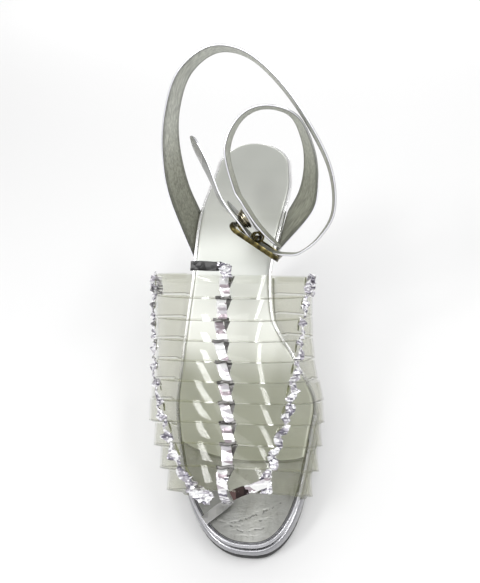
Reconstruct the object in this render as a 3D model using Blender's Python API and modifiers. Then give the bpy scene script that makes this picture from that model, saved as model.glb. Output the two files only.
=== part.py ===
# Platform sandal for the right foot: wrapped insole on a wedge platform, slender heel, a vamp of
# clear strips tied down by three flat laces, and two ankle straps joined by a double buckle.
# Axes: +X to the big toe side, +Y to the heel, +Z up, floor at Z = 0 below the ball of the foot.
import bpy
import bmesh
import numpy as np
from math import cos, pi, radians, sin

MM = 0.001

# Sizes in millimetres
FOOTBED_LENGTH = 238.6
BALL_STATION = 165.0
BALL_HEIGHT = 27.0
TOE_SWING = 12.9
TOE_SWING_START = 100.0
HEEL_ROUND = 22.0
TOE_ROUND = 190.0
TOE_POWER = 2.48
CLEARANCE = 0.3
INSOLE_THICKNESS = 4.6
INSOLE_RIM = 1.4
REBATE_TOP = 2.6
REBATE_DEPTH = 5.0
OUTSOLE_THICKNESS = 2.7
SHANK_THICKNESS = 2.0
BREAST_THICKNESS = 1.4
HEEL_STATION = 48.0
HEEL_TIP_HEIGHT = 6.0
STRIP_COUNT = 10
STRIP_WALL = 1.2
STRIP_LAP = 0.7
STRIP_GAP = 0.05
ARCH_POWER = 2.3
ARCH_UNDERCUT = 0.35
NOTCH_ANGLE = 24.0
LACE_WIDTH = 6.4
LACE_THICKNESS = 1.0
LACE_RISE = 0.9
LACE_SLANT = 3.0
STRAP_WIDTH = 18.0
STRAP_THICKNESS = 1.6
BUCKLE_LENGTH = 29.5
BUCKLE_HEIGHT = 25.0
FRAME_OUT = 7.8
FRAME_RADIUS = 1.2
BAR_RADIUS = 0.9
PRONG_RADIUS = 0.8
STUD_RADIUS = 3.8

# Footbed from the heel's back edge, measured along the foot: slope of the top face
SLOPE_COLUMNS = ("station", "slope_deg")
SLOPE = (
    (0, 19), (40, 21), (90, 45), (130, 36), (165, 13), (200, 11), (240, 9),
)

# Half widths of the footbed on each side of the foot's line
OUTLINE_COLUMNS = ("station", "lateral", "medial")
OUTLINE = (
    (22, 21.0, 25.0), (35, 23.7, 26.0), (60, 27.4, 22.4), (95, 28.0, 16.4), (115, 30.4, 17.6),
    (140, 34.2, 31.0), (165, 35.2, 40.4), (182, 33.4, 36.8), (200, 30.4, 32.4), (240, 26.0, 25.4),
)

# Underside of the platform in side view
UNDERSIDE_COLUMNS = ("y", "z")
UNDERSIDE = (
    (-80, 5.4), (-66, 3.6), (-52, 3.0), (18, 3.0), (28, 5.0), (38, 13.0), (48, 28.0), (58, 47.0),
    (70, 70.0),
)

# Heel in side view: breast line, back line and half width at each height
HEEL_COLUMNS = ("z", "breast_y", "back_y", "half_width")
HEEL = (
    (74, 105.0, 137.0, 17.0), (58, 111.5, 134.0, 11.5), (40, 115.0, 132.0, 8.0),
    (20, 116.8, 130.6, 6.2), (HEEL_TIP_HEIGHT + CLEARANCE, 117.4, 130.0, 5.6),
)

# Vamp: where each strip edge leaves the sole, its crest and its widest points
VAMP_COLUMNS = (
    "strip", "lateral_station", "medial_station", "crest_x", "crest_y", "crest_z",
    "lateral_reach", "medial_reach",
)
VAMP = (
    (0, 91, 93, 0.0, 25.5, 91.0, -47.5, 40.0),
    (2, 117, 114, 0.8, 6.5, 78.3, -46.0, 40.5),
    (4, 141, 138, 1.6, -10.5, 67.2, -43.5, 42.0),
    (6, 165, 162, 2.8, -26.5, 56.8, -43.5, 46.5),
    (8, 193, 188, 4.5, -42.0, 46.7, -35.0, 45.5),
    (10, 216, 214.5, 6.5, -59.0, 36.0, -24.0, 40.5),
)

# Angle on the arch, from the sole edge, at which the two side laces run
LACE_COLUMNS = ("strip", "lateral_deg", "medial_deg")
LACE_LINE = (
    (0, 22, 32), (3, 26, 42), (6, 52, 56), (8, 58, 62), (10, 64, 66),
)

# Ankle straps: centre line, lift of the front edge and its swing to the big toe side
STRAP_COLUMNS = ("x", "y", "z", "lean_deg", "swing_deg")
LATERAL_STRAP = (
    (-35, 82, 108, 0, -23), (-36, 85, 131, 8, -17), (-33, 89, 150, 15, -12),
    (-25, 93, 167, 21, -10), (-10, 94.5, 177, 26, -6), (6, 93, 176, 29, -2), (22, 87, 165, 31, 2),
    (37, 77, 147, 31, 4), (48, 67, 127, 30, 5), (50, 57, 109, 30, 4), (43, 49.5, 98, 31, 2),
)
MEDIAL_STRAP = (
    (35, 80, 101, -12, 26), (38, 80, 118, 2, 25), (36.5, 81.5, 134, 12, 22), (28, 83, 149, 21, 17),
    (15, 82, 154.5, 27, 11), (3, 78, 150, 30, 6), (-3.5, 70, 137, 31, 2),
)

# The same straps where they pass the buckle, in the buckle's own directions
BUCKLE_CENTRE = (18.5, 49.0, 100.0)
BUCKLE_HEADING = 23.4
BUCKLE_DIP = 32.0
BUCKLE_LEAN = 31.8
FRAME_CENTRE_ALONG = -2.75
BAR_ALONG = -4.0
BAR_OUT = 4.7
STUD_ALONG = -14.7
STUD_TILT = 0.25
LAP_COLUMNS = ("along", "out")
LATERAL_LAP = (
    (17.5, -2.5), (12.4, 3.0), (6.5, 6.8), (1, 8.0), (-5, 8.0), (-14.8, 5.8), (-25.7, 2.6),
    (-33.3, -0.9), (-47.2, -8.2), (-61, -14.7),
)
MEDIAL_LAP = (
    (-28.5, -6.1), (-20.9, -2.9), (-10.9, 0.0), (-4, 1.2), (2, 1.7), (8, 2.0),
)

# Faceting
SECTION_STEP = 10.0
ARCH_STEPS = 11
STRAP_STEPS = 3

bpy.ops.object.select_all(action="DESELECT")
for existing in list(bpy.data.objects):
    bpy.data.objects.remove(existing, do_unlink=True)

pieces = bpy.data.collections.new("sandal")
bpy.context.scene.collection.children.link(pieces)
cutters = bpy.data.collections.new("cutters")
bpy.context.scene.collection.children.link(cutters)


def column(table, names, name):
    return np.array([row[names.index(name)] for row in table], dtype=float)


def smooth(at, xs, ys):
    """Monotone cubic through the rows of a table."""
    xs = np.asarray(xs, float)
    ys = np.asarray(ys, float)
    step = np.diff(xs)
    rise = np.diff(ys) / step
    slope = np.zeros_like(ys)
    slope[0] = rise[0]
    slope[-1] = rise[-1]
    for i in range(1, len(xs) - 1):
        if rise[i - 1] * rise[i] > 0:
            a = 2 * step[i] + step[i - 1]
            b = step[i] + 2 * step[i - 1]
            slope[i] = (a + b) / (a / rise[i - 1] + b / rise[i])
    at = np.asarray(at, float)
    k = np.clip(np.searchsorted(xs, at) - 1, 0, len(xs) - 2)
    t = np.clip((at - xs[k]) / step[k], 0, 1)
    h = step[k]
    value = ys[k] * (1 + 2 * t) * (1 - t) ** 2 + ys[k + 1] * t * t * (3 - 2 * t)
    return value + h * slope[k] * t * (1 - t) ** 2 - h * slope[k + 1] * t * t * (1 - t)


def flowing(rows, steps):
    """Points along a rounded path through rows of any width."""
    rows = np.asarray(rows, float)
    before = np.vstack([2 * rows[0] - rows[1], rows, 2 * rows[-1] - rows[-2]])
    out = []
    for i in range(1, len(before) - 2):
        a, b, c, d = before[i - 1:i + 3]
        for k in range(steps):
            t = k / steps
            out.append(0.5 * (2 * b + (c - a) * t + (2 * a - 5 * b + 4 * c - d) * t * t
                              + (3 * b - a - 3 * c + d) * t ** 3))
    out.append(rows[-1])
    return np.array(out)


def unit(v):
    v = np.asarray(v, float)
    return v / np.linalg.norm(v)


# Footbed line in side view, worked out from the slopes
LINE_S = np.linspace(0, FOOTBED_LENGTH, 481)
LINE_A = np.radians(smooth(LINE_S, column(SLOPE, SLOPE_COLUMNS, "station"),
                           column(SLOPE, SLOPE_COLUMNS, "slope_deg")))
HALF = np.diff(LINE_S) / 2
LINE_Y = np.concatenate([[0], np.cumsum(-(np.cos(LINE_A[1:]) + np.cos(LINE_A[:-1])) * HALF)])
LINE_Z = np.concatenate([[0], np.cumsum(-(np.sin(LINE_A[1:]) + np.sin(LINE_A[:-1])) * HALF)])
LINE_Y -= np.interp(BALL_STATION, LINE_S, LINE_Y)
LINE_Z += BALL_HEIGHT - np.interp(BALL_STATION, LINE_S, LINE_Z)


def place(station, x, depth):
    """A point at a station of the footbed, x across and depth below the top face."""
    station = np.asarray(station, float)
    a = np.interp(station, LINE_S, LINE_A)
    past = station - np.clip(station, 0, FOOTBED_LENGTH)
    y = np.interp(station, LINE_S, LINE_Y) - past * np.cos(a) + depth * np.sin(a)
    z = np.interp(station, LINE_S, LINE_Z) - past * np.sin(a) - depth * np.cos(a)
    return np.stack([np.broadcast_to(x, y.shape), y, z], -1)


def half_width(station, side):
    full = smooth(station, column(OUTLINE, OUTLINE_COLUMNS, "station"),
                  column(OUTLINE, OUTLINE_COLUMNS, side))
    heel = np.clip((HEEL_ROUND - station) / HEEL_ROUND, 0, 1)
    toe = np.clip((station - TOE_ROUND) / (FOOTBED_LENGTH - TOE_ROUND), 0, 1)
    return full * np.sqrt(1 - heel ** 2) * (1 - toe ** TOE_POWER) ** (1 / TOE_POWER)


def edge_x(station, side):
    swing = TOE_SWING * np.clip((station - TOE_SWING_START)
                                / (FOOTBED_LENGTH - TOE_SWING_START), 0, 1) ** 2
    if side == "lateral":
        return swing - half_width(station, side)
    return swing + half_width(station, side)


def station_list(start, stop):
    heel_end = HEEL_ROUND * (1 - np.cos(np.linspace(0.11, 1, 6) * pi / 2))
    run = np.arange(HEEL_ROUND, TOE_ROUND + 0.1, SECTION_STEP)[1:]
    toe_end = TOE_ROUND + (FOOTBED_LENGTH - TOE_ROUND) * np.sin(np.linspace(0, 0.93, 8) * pi / 2)
    every = np.concatenate([heel_end, run, toe_end[1:]])
    inside = every[(every > start + 2) & (every < stop - 2)]
    return np.concatenate([[max(start, every[0])], inside, [min(stop, every[-1])]])


def outline(stations, inset):
    """Edge points moved inwards by an inset, as (station, x) for each side."""
    sides = []
    for side, sign in (("lateral", 1.0), ("medial", -1.0)):
        x = edge_x(stations, side)
        ds = np.gradient(stations)
        dx = np.gradient(x)
        length = np.hypot(ds, dx)
        sides.append((stations - inset * sign * dx / length, x + inset * sign * ds / length))
    return sides


def new_object(name, mesh, material):
    mesh.materials.append(material)
    obj = bpy.data.objects.new(name, mesh)
    pieces.objects.link(obj)
    return obj


def loft(name, rings, material):
    """A closed body through rings of equal point count."""
    rings = np.asarray(rings, float) * MM
    bm = bmesh.new()
    grid = [[bm.verts.new(p) for p in ring] for ring in rings]
    count = len(grid[0])
    for a, b in zip(grid[:-1], grid[1:]):
        for k in range(count):
            bm.faces.new((a[k], a[(k + 1) % count], b[(k + 1) % count], b[k]))
    bm.faces.new(grid[0])
    bm.faces.new(list(reversed(grid[-1])))
    bmesh.ops.recalc_face_normals(bm, faces=bm.faces)
    mesh = bpy.data.meshes.new(name)
    bm.to_mesh(mesh)
    bm.free()
    return new_object(name, mesh, material)


def sheet(name, rows, thickness, material, keep=None):
    """An open grid given a wall by Solidify; keep(i, j) says which cells are there."""
    rows = np.asarray(rows, float) * MM
    bm = bmesh.new()
    grid = [[bm.verts.new(p) for p in row] for row in rows]
    for i in range(len(grid) - 1):
        for j in range(len(grid[0]) - 1):
            if keep is None or keep(i, j):
                bm.faces.new((grid[i][j], grid[i + 1][j], grid[i + 1][j + 1], grid[i][j + 1]))
    loose = [v for v in bm.verts if not v.link_faces]
    bmesh.ops.delete(bm, geom=loose, context="VERTS")
    bmesh.ops.recalc_face_normals(bm, faces=bm.faces)
    mesh = bpy.data.meshes.new(name)
    bm.to_mesh(mesh)
    bm.free()
    obj = new_object(name, mesh, material)
    wall = obj.modifiers.new("wall", "SOLIDIFY")
    wall.thickness = thickness * MM
    wall.offset = 0.0
    wall.use_even_offset = False
    return obj


def rod(name, points, radius, material, cyclic=False, sides=2):
    """A round rod along points."""
    curve = bpy.data.curves.new(name, "CURVE")
    curve.dimensions = "3D"
    curve.bevel_depth = radius * MM
    curve.bevel_resolution = sides
    curve.use_fill_caps = True
    spline = curve.splines.new("POLY")
    spline.points.add(len(points) - 1)
    for p, co in zip(spline.points, points):
        p.co = (co[0] * MM, co[1] * MM, co[2] * MM, 1.0)
    spline.use_cyclic_u = cyclic
    curve.materials.append(material)
    obj = bpy.data.objects.new(name, curve)
    pieces.objects.link(obj)
    return obj


def material(name, colour, metallic, roughness, transmission=0.0):
    mat = bpy.data.materials.new(name)
    mat.use_nodes = True
    shader = mat.node_tree.nodes["Principled BSDF"]
    shader.inputs["Base Color"].default_value = (*colour, 1.0)
    shader.inputs["Metallic"].default_value = metallic
    shader.inputs["Roughness"].default_value = roughness
    shader.inputs["Transmission Weight"].default_value = transmission
    return mat


SILVER = material("silver_leather", (0.62, 0.62, 0.63), 0.6, 0.35)
LINING = material("insole_lining", (0.55, 0.57, 0.52), 0.1, 0.5)
WRAP = material("platform_wrap", (0.66, 0.66, 0.67), 0.7, 0.3)
HEEL_WRAP = material("heel_wrap", (0.64, 0.64, 0.65), 0.7, 0.3)
BLACK = material("outsole_black", (0.012, 0.012, 0.012), 0.0, 0.5)
TIP = material("heel_tip_black", (0.02, 0.02, 0.02), 0.0, 0.6)
CLEAR = material("clear_strip", (0.9, 0.9, 0.82), 0.0, 0.08, 0.9)
FOIL = material("lace_foil", (0.7, 0.7, 0.71), 0.8, 0.25)
BRASS = material("antique_brass", (0.25, 0.2, 0.08), 1.0, 0.35)


def make_insole():
    stations = station_list(0, FOOTBED_LENGTH)
    tucked = np.where((stations > 84) & (stations < 224), REBATE_DEPTH, 1.0)
    profile = (
        (1.2, 0.0), (0.0, INSOLE_RIM), (0.6, REBATE_TOP - 0.2), (tucked, REBATE_TOP),
        (tucked + 0.4, INSOLE_THICKNESS),
    )
    lateral = []
    medial = []
    for inset, depth in profile:
        left, right = outline(stations, inset)
        lateral.append(place(left[0], left[1], depth))
        medial.append(place(right[0], right[1], depth))
    rings = np.stack(lateral[::-1] + medial, axis=1)
    return loft("insole", rings, LINING)


def underside(y):
    return smooth(y, column(UNDERSIDE, UNDERSIDE_COLUMNS, "y"),
                  column(UNDERSIDE, UNDERSIDE_COLUMNS, "z"))


PLATFORM_START = 93.0


def make_platform():
    stations = station_list(PLATFORM_START, FOOTBED_LENGTH)
    top_depth = INSOLE_THICKNESS + CLEARANCE
    lateral = []
    medial = []
    for inset, share in ((0.4, 0.0), (-0.6, 0.35), (-0.8, 0.7), (-0.2, 1.0)):
        for points, into in zip(outline(stations, inset), (lateral, medial)):
            top = place(points[0], points[1], top_depth)
            low = underside(top[:, 1])
            p = top.copy()
            p[:, 2] = low + (top[:, 2] - low) * share
            into.append(p)
    rings = np.stack(lateral + medial[::-1], axis=1)
    return loft("platform", rings, WRAP)


def breast_line():
    """Side view of the heel's front face from the shank to the floor."""
    rows = [(y - CLEARANCE, z) for z, y, back, half in HEEL]
    return np.array(rows)


def make_outsole():
    rings = []
    stations = station_list(PLATFORM_START, FOOTBED_LENGTH)
    lateral, medial = outline(stations, 0.2)
    low_lateral, low_medial = outline(stations, 0.7)
    depth = INSOLE_THICKNESS + CLEARANCE
    slant = np.gradient(underside(np.linspace(-80, 70, 151)))
    for k in reversed(range(len(stations))):
        ring = []
        for points, below in ((lateral, False), (medial, False), (low_medial, True),
                              (low_lateral, True)):
            p = place(points[0][k], points[1][k], depth)
            p[2] = underside(p[1]) - CLEARANCE
            if below:
                a = np.arctan(np.interp(p[1], np.linspace(-80, 70, 151), slant))
                thick = OUTSOLE_THICKNESS + (SHANK_THICKNESS - OUTSOLE_THICKNESS) * min(a, 1.0)
                p[1] += thick * sin(a)
                p[2] -= thick * cos(a)
            ring.append(p)
        rings.append(ring)
    for station in (84.0, 74.0, 64.0, HEEL_STATION + 8):
        ring = []
        for side, inset, down in (("lateral", 3.0, 0), ("medial", -3.0, 0), ("medial", -4.5, 1),
                                  ("lateral", 4.5, 1)):
            ring.append(place(station, edge_x(station, side) + inset,
                              depth + down * SHANK_THICKNESS))
        rings.append(ring)
    turn = place(HEEL_STATION, 0.0, depth + 2.5)
    rows = np.vstack([[turn[1], turn[2]], breast_line()])
    half = np.concatenate([[23.0], [row[3] * 0.92 for row in HEEL]])
    ahead = np.gradient(rows, axis=0)
    for (y, z), (dy, dz), wide in zip(rows, ahead, half):
        run = np.hypot(dy, dz)
        oy = dz / run * BREAST_THICKNESS
        oz = -dy / run * BREAST_THICKNESS
        rings.append([(-wide, y, z), (wide, y, z), (wide - 0.6, y + oy, z + oz),
                      (0.6 - wide, y + oy, z + oz)])
    return loft("outsole", rings, BLACK)


def heel_ring(y_front, y_back, half, z):
    """Flat breast, rounded back, taken from the shape of the heel seat."""
    stations = np.array([HEEL_STATION - 2, 36.0, 24.0, 14.0, 7.0, 2.5, 0.6])
    share = 1 - (stations - stations[-1]) / (stations[0] - stations[-1])
    y = y_front + (y_back - y_front) * share
    points = []
    for side, order in (("lateral", slice(None)), ("medial", slice(None, None, -1))):
        x = edge_x(stations, side) / np.max(np.abs(edge_x(stations, side))) * half
        points += [(a, b, z) for a, b in zip(x[order], y[order])]
    return points


def make_heel():
    stations = np.array([HEEL_STATION - 2, 36.0, 24.0, 14.0, 7.0, 2.5, 0.6])
    lateral, medial = outline(np.sort(stations), 1.0)
    top = []
    for points, order in ((lateral, slice(None, None, -1)), (medial, slice(None))):
        top += list(place(points[0][order], points[1][order], INSOLE_THICKNESS + CLEARANCE))
    rings = [top]
    for z, front, back, half in HEEL:
        rings.append(heel_ring(front, back, half, z))
    return loft("heel", rings, HEEL_WRAP)


def make_heel_tip():
    z, front, back, half = HEEL[-1]
    rings = [heel_ring(front - 1.6, back + 0.4, half + 0.4, h) for h in (HEEL_TIP_HEIGHT, 0.0)]
    return loft("heel_top_piece", rings, TIP)


def vamp_value(strip, name):
    return smooth(strip, column(VAMP, VAMP_COLUMNS, "strip"), column(VAMP, VAMP_COLUMNS, name))


def arch(strip, side, angle):
    """A point of the vamp: angle 0 at the sole edge, 90 at the crest."""
    station = vamp_value(strip, side + "_station")
    foot = place(station, edge_x(station, side), 0.0)
    outward = -1.0 if side == "lateral" else 1.0
    a = radians(angle)
    height = sin(a) ** (2 / ARCH_POWER)
    across = cos(a) ** (2 / ARCH_POWER) if angle < 89.99 else 0.0
    reach = vamp_value(strip, side + "_reach")
    start = foot[0] + outward * 2.6
    if outward * (reach - start) > 0:
        under = max(0.0, 1 - height / ARCH_UNDERCUT)
        side_x = reach - (reach - start) * under ** 2
    else:
        side_x = start
    crest_x = vamp_value(strip, "crest_x")
    x = crest_x + (side_x - crest_x) * across
    y = foot[1] + (vamp_value(strip, "crest_y") - foot[1]) * height
    z = foot[2] + (vamp_value(strip, "crest_z") - foot[2]) * height
    return np.array([x, y, z])


def arch_out(strip, side, angle):
    """Direction square to the vamp, away from the foot."""
    s0, s1 = max(strip - 0.15, 0.0), min(strip + 0.15, STRIP_COUNT)
    a0, a1 = max(angle - 3.0, 0.0), min(angle + 3.0, 89.0)
    along = arch(s1, side, angle) - arch(s0, side, angle)
    around = arch(strip, side, a1) - arch(strip, side, a0)
    out = unit(np.cross(around, along))
    middle = np.array([vamp_value(strip, "crest_x"), vamp_value(strip, "crest_y"), 0.0])
    return out if np.dot(out, arch(strip, side, angle) - middle) > 0 else -out


def strip_row(strip, lap):
    """One edge of a strip from the tuck under the insole, over the foot, to the other tuck."""
    angles = [90.0 * k / ARCH_STEPS for k in range(ARCH_STEPS + 1)]
    halves = []
    for side in ("lateral", "medial"):
        station = vamp_value(strip, side + "_station")
        outward = -1.0 if side == "lateral" else 1.0
        edge = edge_x(station, side)
        half = [place(station, edge + outward * out, depth)
                for out, depth in ((-3.4, 3.75), (0.5, 3.7), (2.3, 2.0))]
        for angle in angles:
            rise = lap * min(1.0, angle / 20.0)
            half.append(arch(strip, side, angle) + rise * arch_out(strip, side, angle))
        halves.append(half)
    crest = (halves[0][-1] + halves[1][-1]) / 2
    return halves[0][:-1] + [crest] + halves[1][-2::-1]


def make_upper():
    rows = []
    for k in range(STRIP_COUNT):
        rows.append(strip_row(k + STRIP_GAP, 0.0))
        rows.append(strip_row(k + 1 - STRIP_GAP, STRIP_LAP))
    cells = len(rows[0]) - 1
    notch = 3 + int(ARCH_STEPS * NOTCH_ANGLE / 90.0)

    def keep(i, j):
        return i % 2 == 0 or notch <= j < cells - notch

    return sheet("upper", rows, STRIP_WALL, CLEAR, keep)


def lace_rows(side, column_name, start, stop):
    """Flat lace over each strip in turn, slanting across it and dipping between strips."""
    rows = []
    lift = STRIP_WALL / 2 + STRIP_LAP + CLEARANCE + LACE_THICKNESS / 2
    for k in range(start, stop):
        for share in (0.03, 0.2, 0.5, 0.8, 0.97):
            strip = k + share
            if column_name is None:
                angle = 89.0
            else:
                angle = float(smooth(strip, column(LACE_LINE, LACE_COLUMNS, "strip"),
                                     column(LACE_LINE, LACE_COLUMNS, column_name)))
            out = arch_out(strip, side, angle)
            along = unit(arch(min(strip + 0.2, STRIP_COUNT), side, angle)
                         - arch(max(strip - 0.2, 0.0), side, angle))
            across = unit(np.cross(out, along))
            shift = LACE_SLANT * (share - 0.5)
            rise = lift + LACE_RISE * sin(pi * share)
            centre = arch(strip, side, angle) + out * rise + across * shift
            rows.append([centre - across * LACE_WIDTH / 2, centre,
                         centre + across * LACE_WIDTH / 2])
    return rows


def make_laces():
    sheet("lace_center", lace_rows("lateral", None, 0, STRIP_COUNT), LACE_THICKNESS, FOIL)
    sheet("lace_lateral", lace_rows("lateral", "lateral_deg", 0, STRIP_COUNT), LACE_THICKNESS, FOIL)
    sheet("lace_medial", lace_rows("medial", "medial_deg", 0, STRIP_COUNT), LACE_THICKNESS, FOIL)


# Directions of the buckle: along the strap, across it to the front, and out from the ankle
HEADING = radians(BUCKLE_HEADING)
DIP = radians(BUCKLE_DIP)
ALONG = np.array([cos(DIP) * cos(HEADING), -cos(DIP) * sin(HEADING), -sin(DIP)])
ACROSS = np.array([0.0, -cos(radians(BUCKLE_LEAN)), sin(radians(BUCKLE_LEAN))])
ACROSS = unit(ACROSS - ALONG * np.dot(ACROSS, ALONG))
OUT = np.cross(ALONG, ACROSS)


def at_buckle(along, across, out):
    return np.array(BUCKLE_CENTRE) + ALONG * along + ACROSS * across + OUT * out


def strap_rows(table, lap, side, front_station, back_station):
    """Front, middle and back edge of a strap from the sole to its free end."""
    lean = np.radians(column(table, STRAP_COLUMNS, "lean_deg"))
    swing = np.radians(column(table, STRAP_COLUMNS, "swing_deg"))
    centre = np.stack([column(table, STRAP_COLUMNS, c) for c in "xyz"], -1)
    front = np.stack([np.cos(lean) * np.sin(swing), -np.cos(lean) * np.cos(swing),
                      np.sin(lean)], -1)
    near = np.array([at_buckle(a, 0.0, o) for a, o in lap])
    centre = np.vstack([centre, near])
    front = np.vstack([front, np.tile(ACROSS, (len(lap), 1))])
    path = flowing(np.hstack([centre, front]), STRAP_STEPS)
    rows = []
    outward = -1.0 if side == "lateral" else 1.0
    for out, depth in ((1.2, 3.6), (1.3, 0.0)):
        ends = [place(s, edge_x(s, side) + outward * out, depth)
                for s in (front_station, back_station)]
        rows.append([ends[0], (ends[0] + ends[1]) / 2, ends[1]])
    for p in path:
        across = unit(p[3:]) * STRAP_WIDTH / 2
        rows.append([p[:3] + across, p[:3], p[:3] - across])
    return rows


def round_end(rows):
    """Draws the last rows in to a rounded strap end."""
    for k, share in ((-1, 0.45), (-2, 0.86)):
        middle = rows[k][1]
        rows[k] = [middle + (p - middle) * share for p in rows[k]]
    return rows


def make_straps():
    lateral = strap_rows(LATERAL_STRAP, LATERAL_LAP, "lateral", 80.0, 52.0)
    sheet("ankle_strap_lateral", round_end(lateral), STRAP_THICKNESS, SILVER)
    medial = strap_rows(MEDIAL_STRAP, MEDIAL_LAP, "medial", 79.0, 54.0)
    sheet("ankle_strap_medial", round_end(medial), STRAP_THICKNESS, SILVER)


def make_buckle():
    half_long = BUCKLE_LENGTH / 2
    half_high = BUCKLE_HEIGHT / 2
    corner = 3.5
    loop = []
    for cx, cy, start in ((1, 1, 0), (-1, 1, 90), (-1, -1, 180), (1, -1, 270)):
        for k in range(4):
            a = radians(start + 30 * k)
            loop.append((cx * (half_long - corner) + corner * cos(a),
                         cy * (half_high - corner) + corner * sin(a)))
        if start in (0, 180):
            for share in (0.62, 0.24, -0.24, -0.62):
                loop.append((cx * share * (half_long - corner), cy * half_high))
    frame = rod("buckle_frame", [at_buckle(FRAME_CENTRE_ALONG + a, c, FRAME_OUT) for a, c in loop],
                FRAME_RADIUS, BRASS, cyclic=True)
    dropped = [(half_high, FRAME_OUT), (10.8, BAR_OUT + 0.7), (9.8, BAR_OUT)]
    dropped += [(-c, o) for c, o in reversed(dropped)]
    bar = rod("buckle_bar", [at_buckle(BAR_ALONG, c, o) for c, o in dropped], BAR_RADIUS, BRASS)
    pieces.objects.unlink(bar)
    cutters.objects.link(bar)
    join_body(frame, bar)
    prong = [(-2.0, 9.9), (4.0, 10.0), (9.0, 10.1), (FRAME_CENTRE_ALONG + half_long + 1.5, 10.2)]
    rod("buckle_prong", [at_buckle(a, 0.0, o) for a, o in prong], PRONG_RADIUS, BRASS)


def as_mesh(obj):
    """Swaps a curve object for its mesh under the same name."""
    graph = bpy.context.evaluated_depsgraph_get()
    mesh = bpy.data.meshes.new_from_object(obj.evaluated_get(graph))
    name = obj.name
    holder = obj.users_collection[0]
    bpy.data.objects.remove(obj, do_unlink=True)
    bm = bmesh.new()
    bm.from_mesh(mesh)
    bmesh.ops.remove_doubles(bm, verts=bm.verts, dist=1e-6)
    bmesh.ops.recalc_face_normals(bm, faces=bm.faces)
    bm.to_mesh(mesh)
    bm.free()
    made = bpy.data.objects.new(name, mesh)
    holder.objects.link(made)
    return made


def join_body(body, other):
    body = as_mesh(body)
    other = as_mesh(other)
    other.hide_render = True
    other.display_type = "WIRE"
    union = body.modifiers.new("join", "BOOLEAN")
    union.operation = "UNION"
    union.solver = "EXACT"
    union.object = other
    return body


def make_tab():
    """Leather loop that holds the buckle's middle bar to the medial strap."""
    turn = BAR_RADIUS + CLEARANCE + 0.5
    path = [(-18.8, -0.5), (STUD_ALONG, 0.7), (-10.9, 1.7), (-8.0, 2.6)]
    path += [(BAR_ALONG + turn * sin(radians(a)), BAR_OUT - turn * cos(radians(a)))
             for a in (0, 45, 90, 135, 180)]
    path += [(-7.5, BAR_OUT + turn - 0.5)]
    rows = [[at_buckle(a, c, o) for c in (5.0, 0.0, -5.0)] for a, o in path]
    return sheet("buckle_tab", rows, 1.0, SILVER)


def make_stud():
    """Rivet of stacked discs, turned about its own axis."""
    foot = at_buckle(STUD_ALONG, 0.0, 1.6)
    up = unit(OUT - STUD_TILT * ALONG)
    level = unit(ALONG + STUD_TILT * OUT)
    rings = []
    for height, radius in ((0.0, 1.0), (0.0, STUD_RADIUS), (0.8, STUD_RADIUS), (1.0, 3.0),
                           (1.5, 3.0), (1.7, 3.4), (2.5, 3.0), (2.5, 1.0)):
        rings.append([foot + up * height + radius * (level * cos(a) + ACROSS * sin(a))
                      for a in np.linspace(0, 2 * pi, 17)[:-1]])
    return loft("strap_stud", rings, BRASS)


make_insole()
make_platform()
make_outsole()
make_heel()
make_heel_tip()
make_upper()
make_laces()
make_straps()
make_buckle()
as_mesh(pieces.objects["buckle_prong"])
make_tab()
make_stud()
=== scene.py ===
# Dresses the right platform sandal: wrapped footbed, silver platform and heel, ten clear vinyl strips,
# three crumpled foil laces and two lined ankle straps closed by a brass buckle.
# Shapes are in millimetres up to skin(), which lays them out in metres. Finishes read metres.
import bmesh
import bpy
import numpy as np
from math import cos, pi, radians, sin
from mathutils import Matrix, Vector, noise


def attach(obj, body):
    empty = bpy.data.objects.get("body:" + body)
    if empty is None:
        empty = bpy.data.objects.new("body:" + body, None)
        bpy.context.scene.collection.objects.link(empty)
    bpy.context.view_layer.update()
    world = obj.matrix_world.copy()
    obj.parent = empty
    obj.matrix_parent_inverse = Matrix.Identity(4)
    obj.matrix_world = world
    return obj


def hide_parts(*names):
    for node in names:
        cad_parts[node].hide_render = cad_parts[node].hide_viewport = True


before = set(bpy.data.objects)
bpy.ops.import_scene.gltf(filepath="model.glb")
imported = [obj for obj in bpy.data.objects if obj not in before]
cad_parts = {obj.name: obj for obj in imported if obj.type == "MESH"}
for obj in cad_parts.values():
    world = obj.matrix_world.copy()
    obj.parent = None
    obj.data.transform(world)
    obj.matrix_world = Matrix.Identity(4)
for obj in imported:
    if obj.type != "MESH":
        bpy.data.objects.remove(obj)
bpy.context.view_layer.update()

MM = 0.001
OUTWARD = {"lateral": -1.0, "medial": 1.0}

# The same folds and creases on every run
FOLD_SEED = 3
SEED_STEP = (7.3, 3.1, -5.7)
noise.seed_set(FOLD_SEED)

# Camera
CAMERA_PLACE = (49.316, -203.036, 267.521)
CAMERA_PITCH = 39.08
CAMERA_YAW = -1.35
CAMERA_ROLL = -0.09
CAMERA_PAN = 7.7
CAMERA_LENS = 36.49
CAMERA_SENSOR = 36.0
CAMERA_NEAR_M = 0.005

# Studio
FLOOR_SIZE_M = 6.0
FLOOR_DROP_M = 0.0002
FLOOR_GREY = 0.83
ROOM_LIGHT = 0.76
DIM_PATCH_LIGHT = 0.5
DIM_PATCH_WAY = (0.0, 0.3, 0.954)
DIM_PATCH_EDGE = (0.8, 0.93)
# Columns: name, stand, aim, long_way, size_m, watts
LIGHTS = (
    ("left_strip_light", (-370, -335, 575), (-10, -20, 60), (0.04, -0.36, -0.1), (0.11, 0.24), 1.3),
    ("right_strip_light", (311, -50, 700), (17, -10, 65), (0, -1, 0), (0.065, 0.42), 1.22),
    ("front_softbox", (-15, -395, 796), (0, 30, 60), (1, 0, 0), (0.34, 0.42), 1.05),
    ("backdrop_light", (0, 1300, 700), (0, 950, 0), (1, 0, 0), (0.6, 1.4), 6.6),
)

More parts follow.
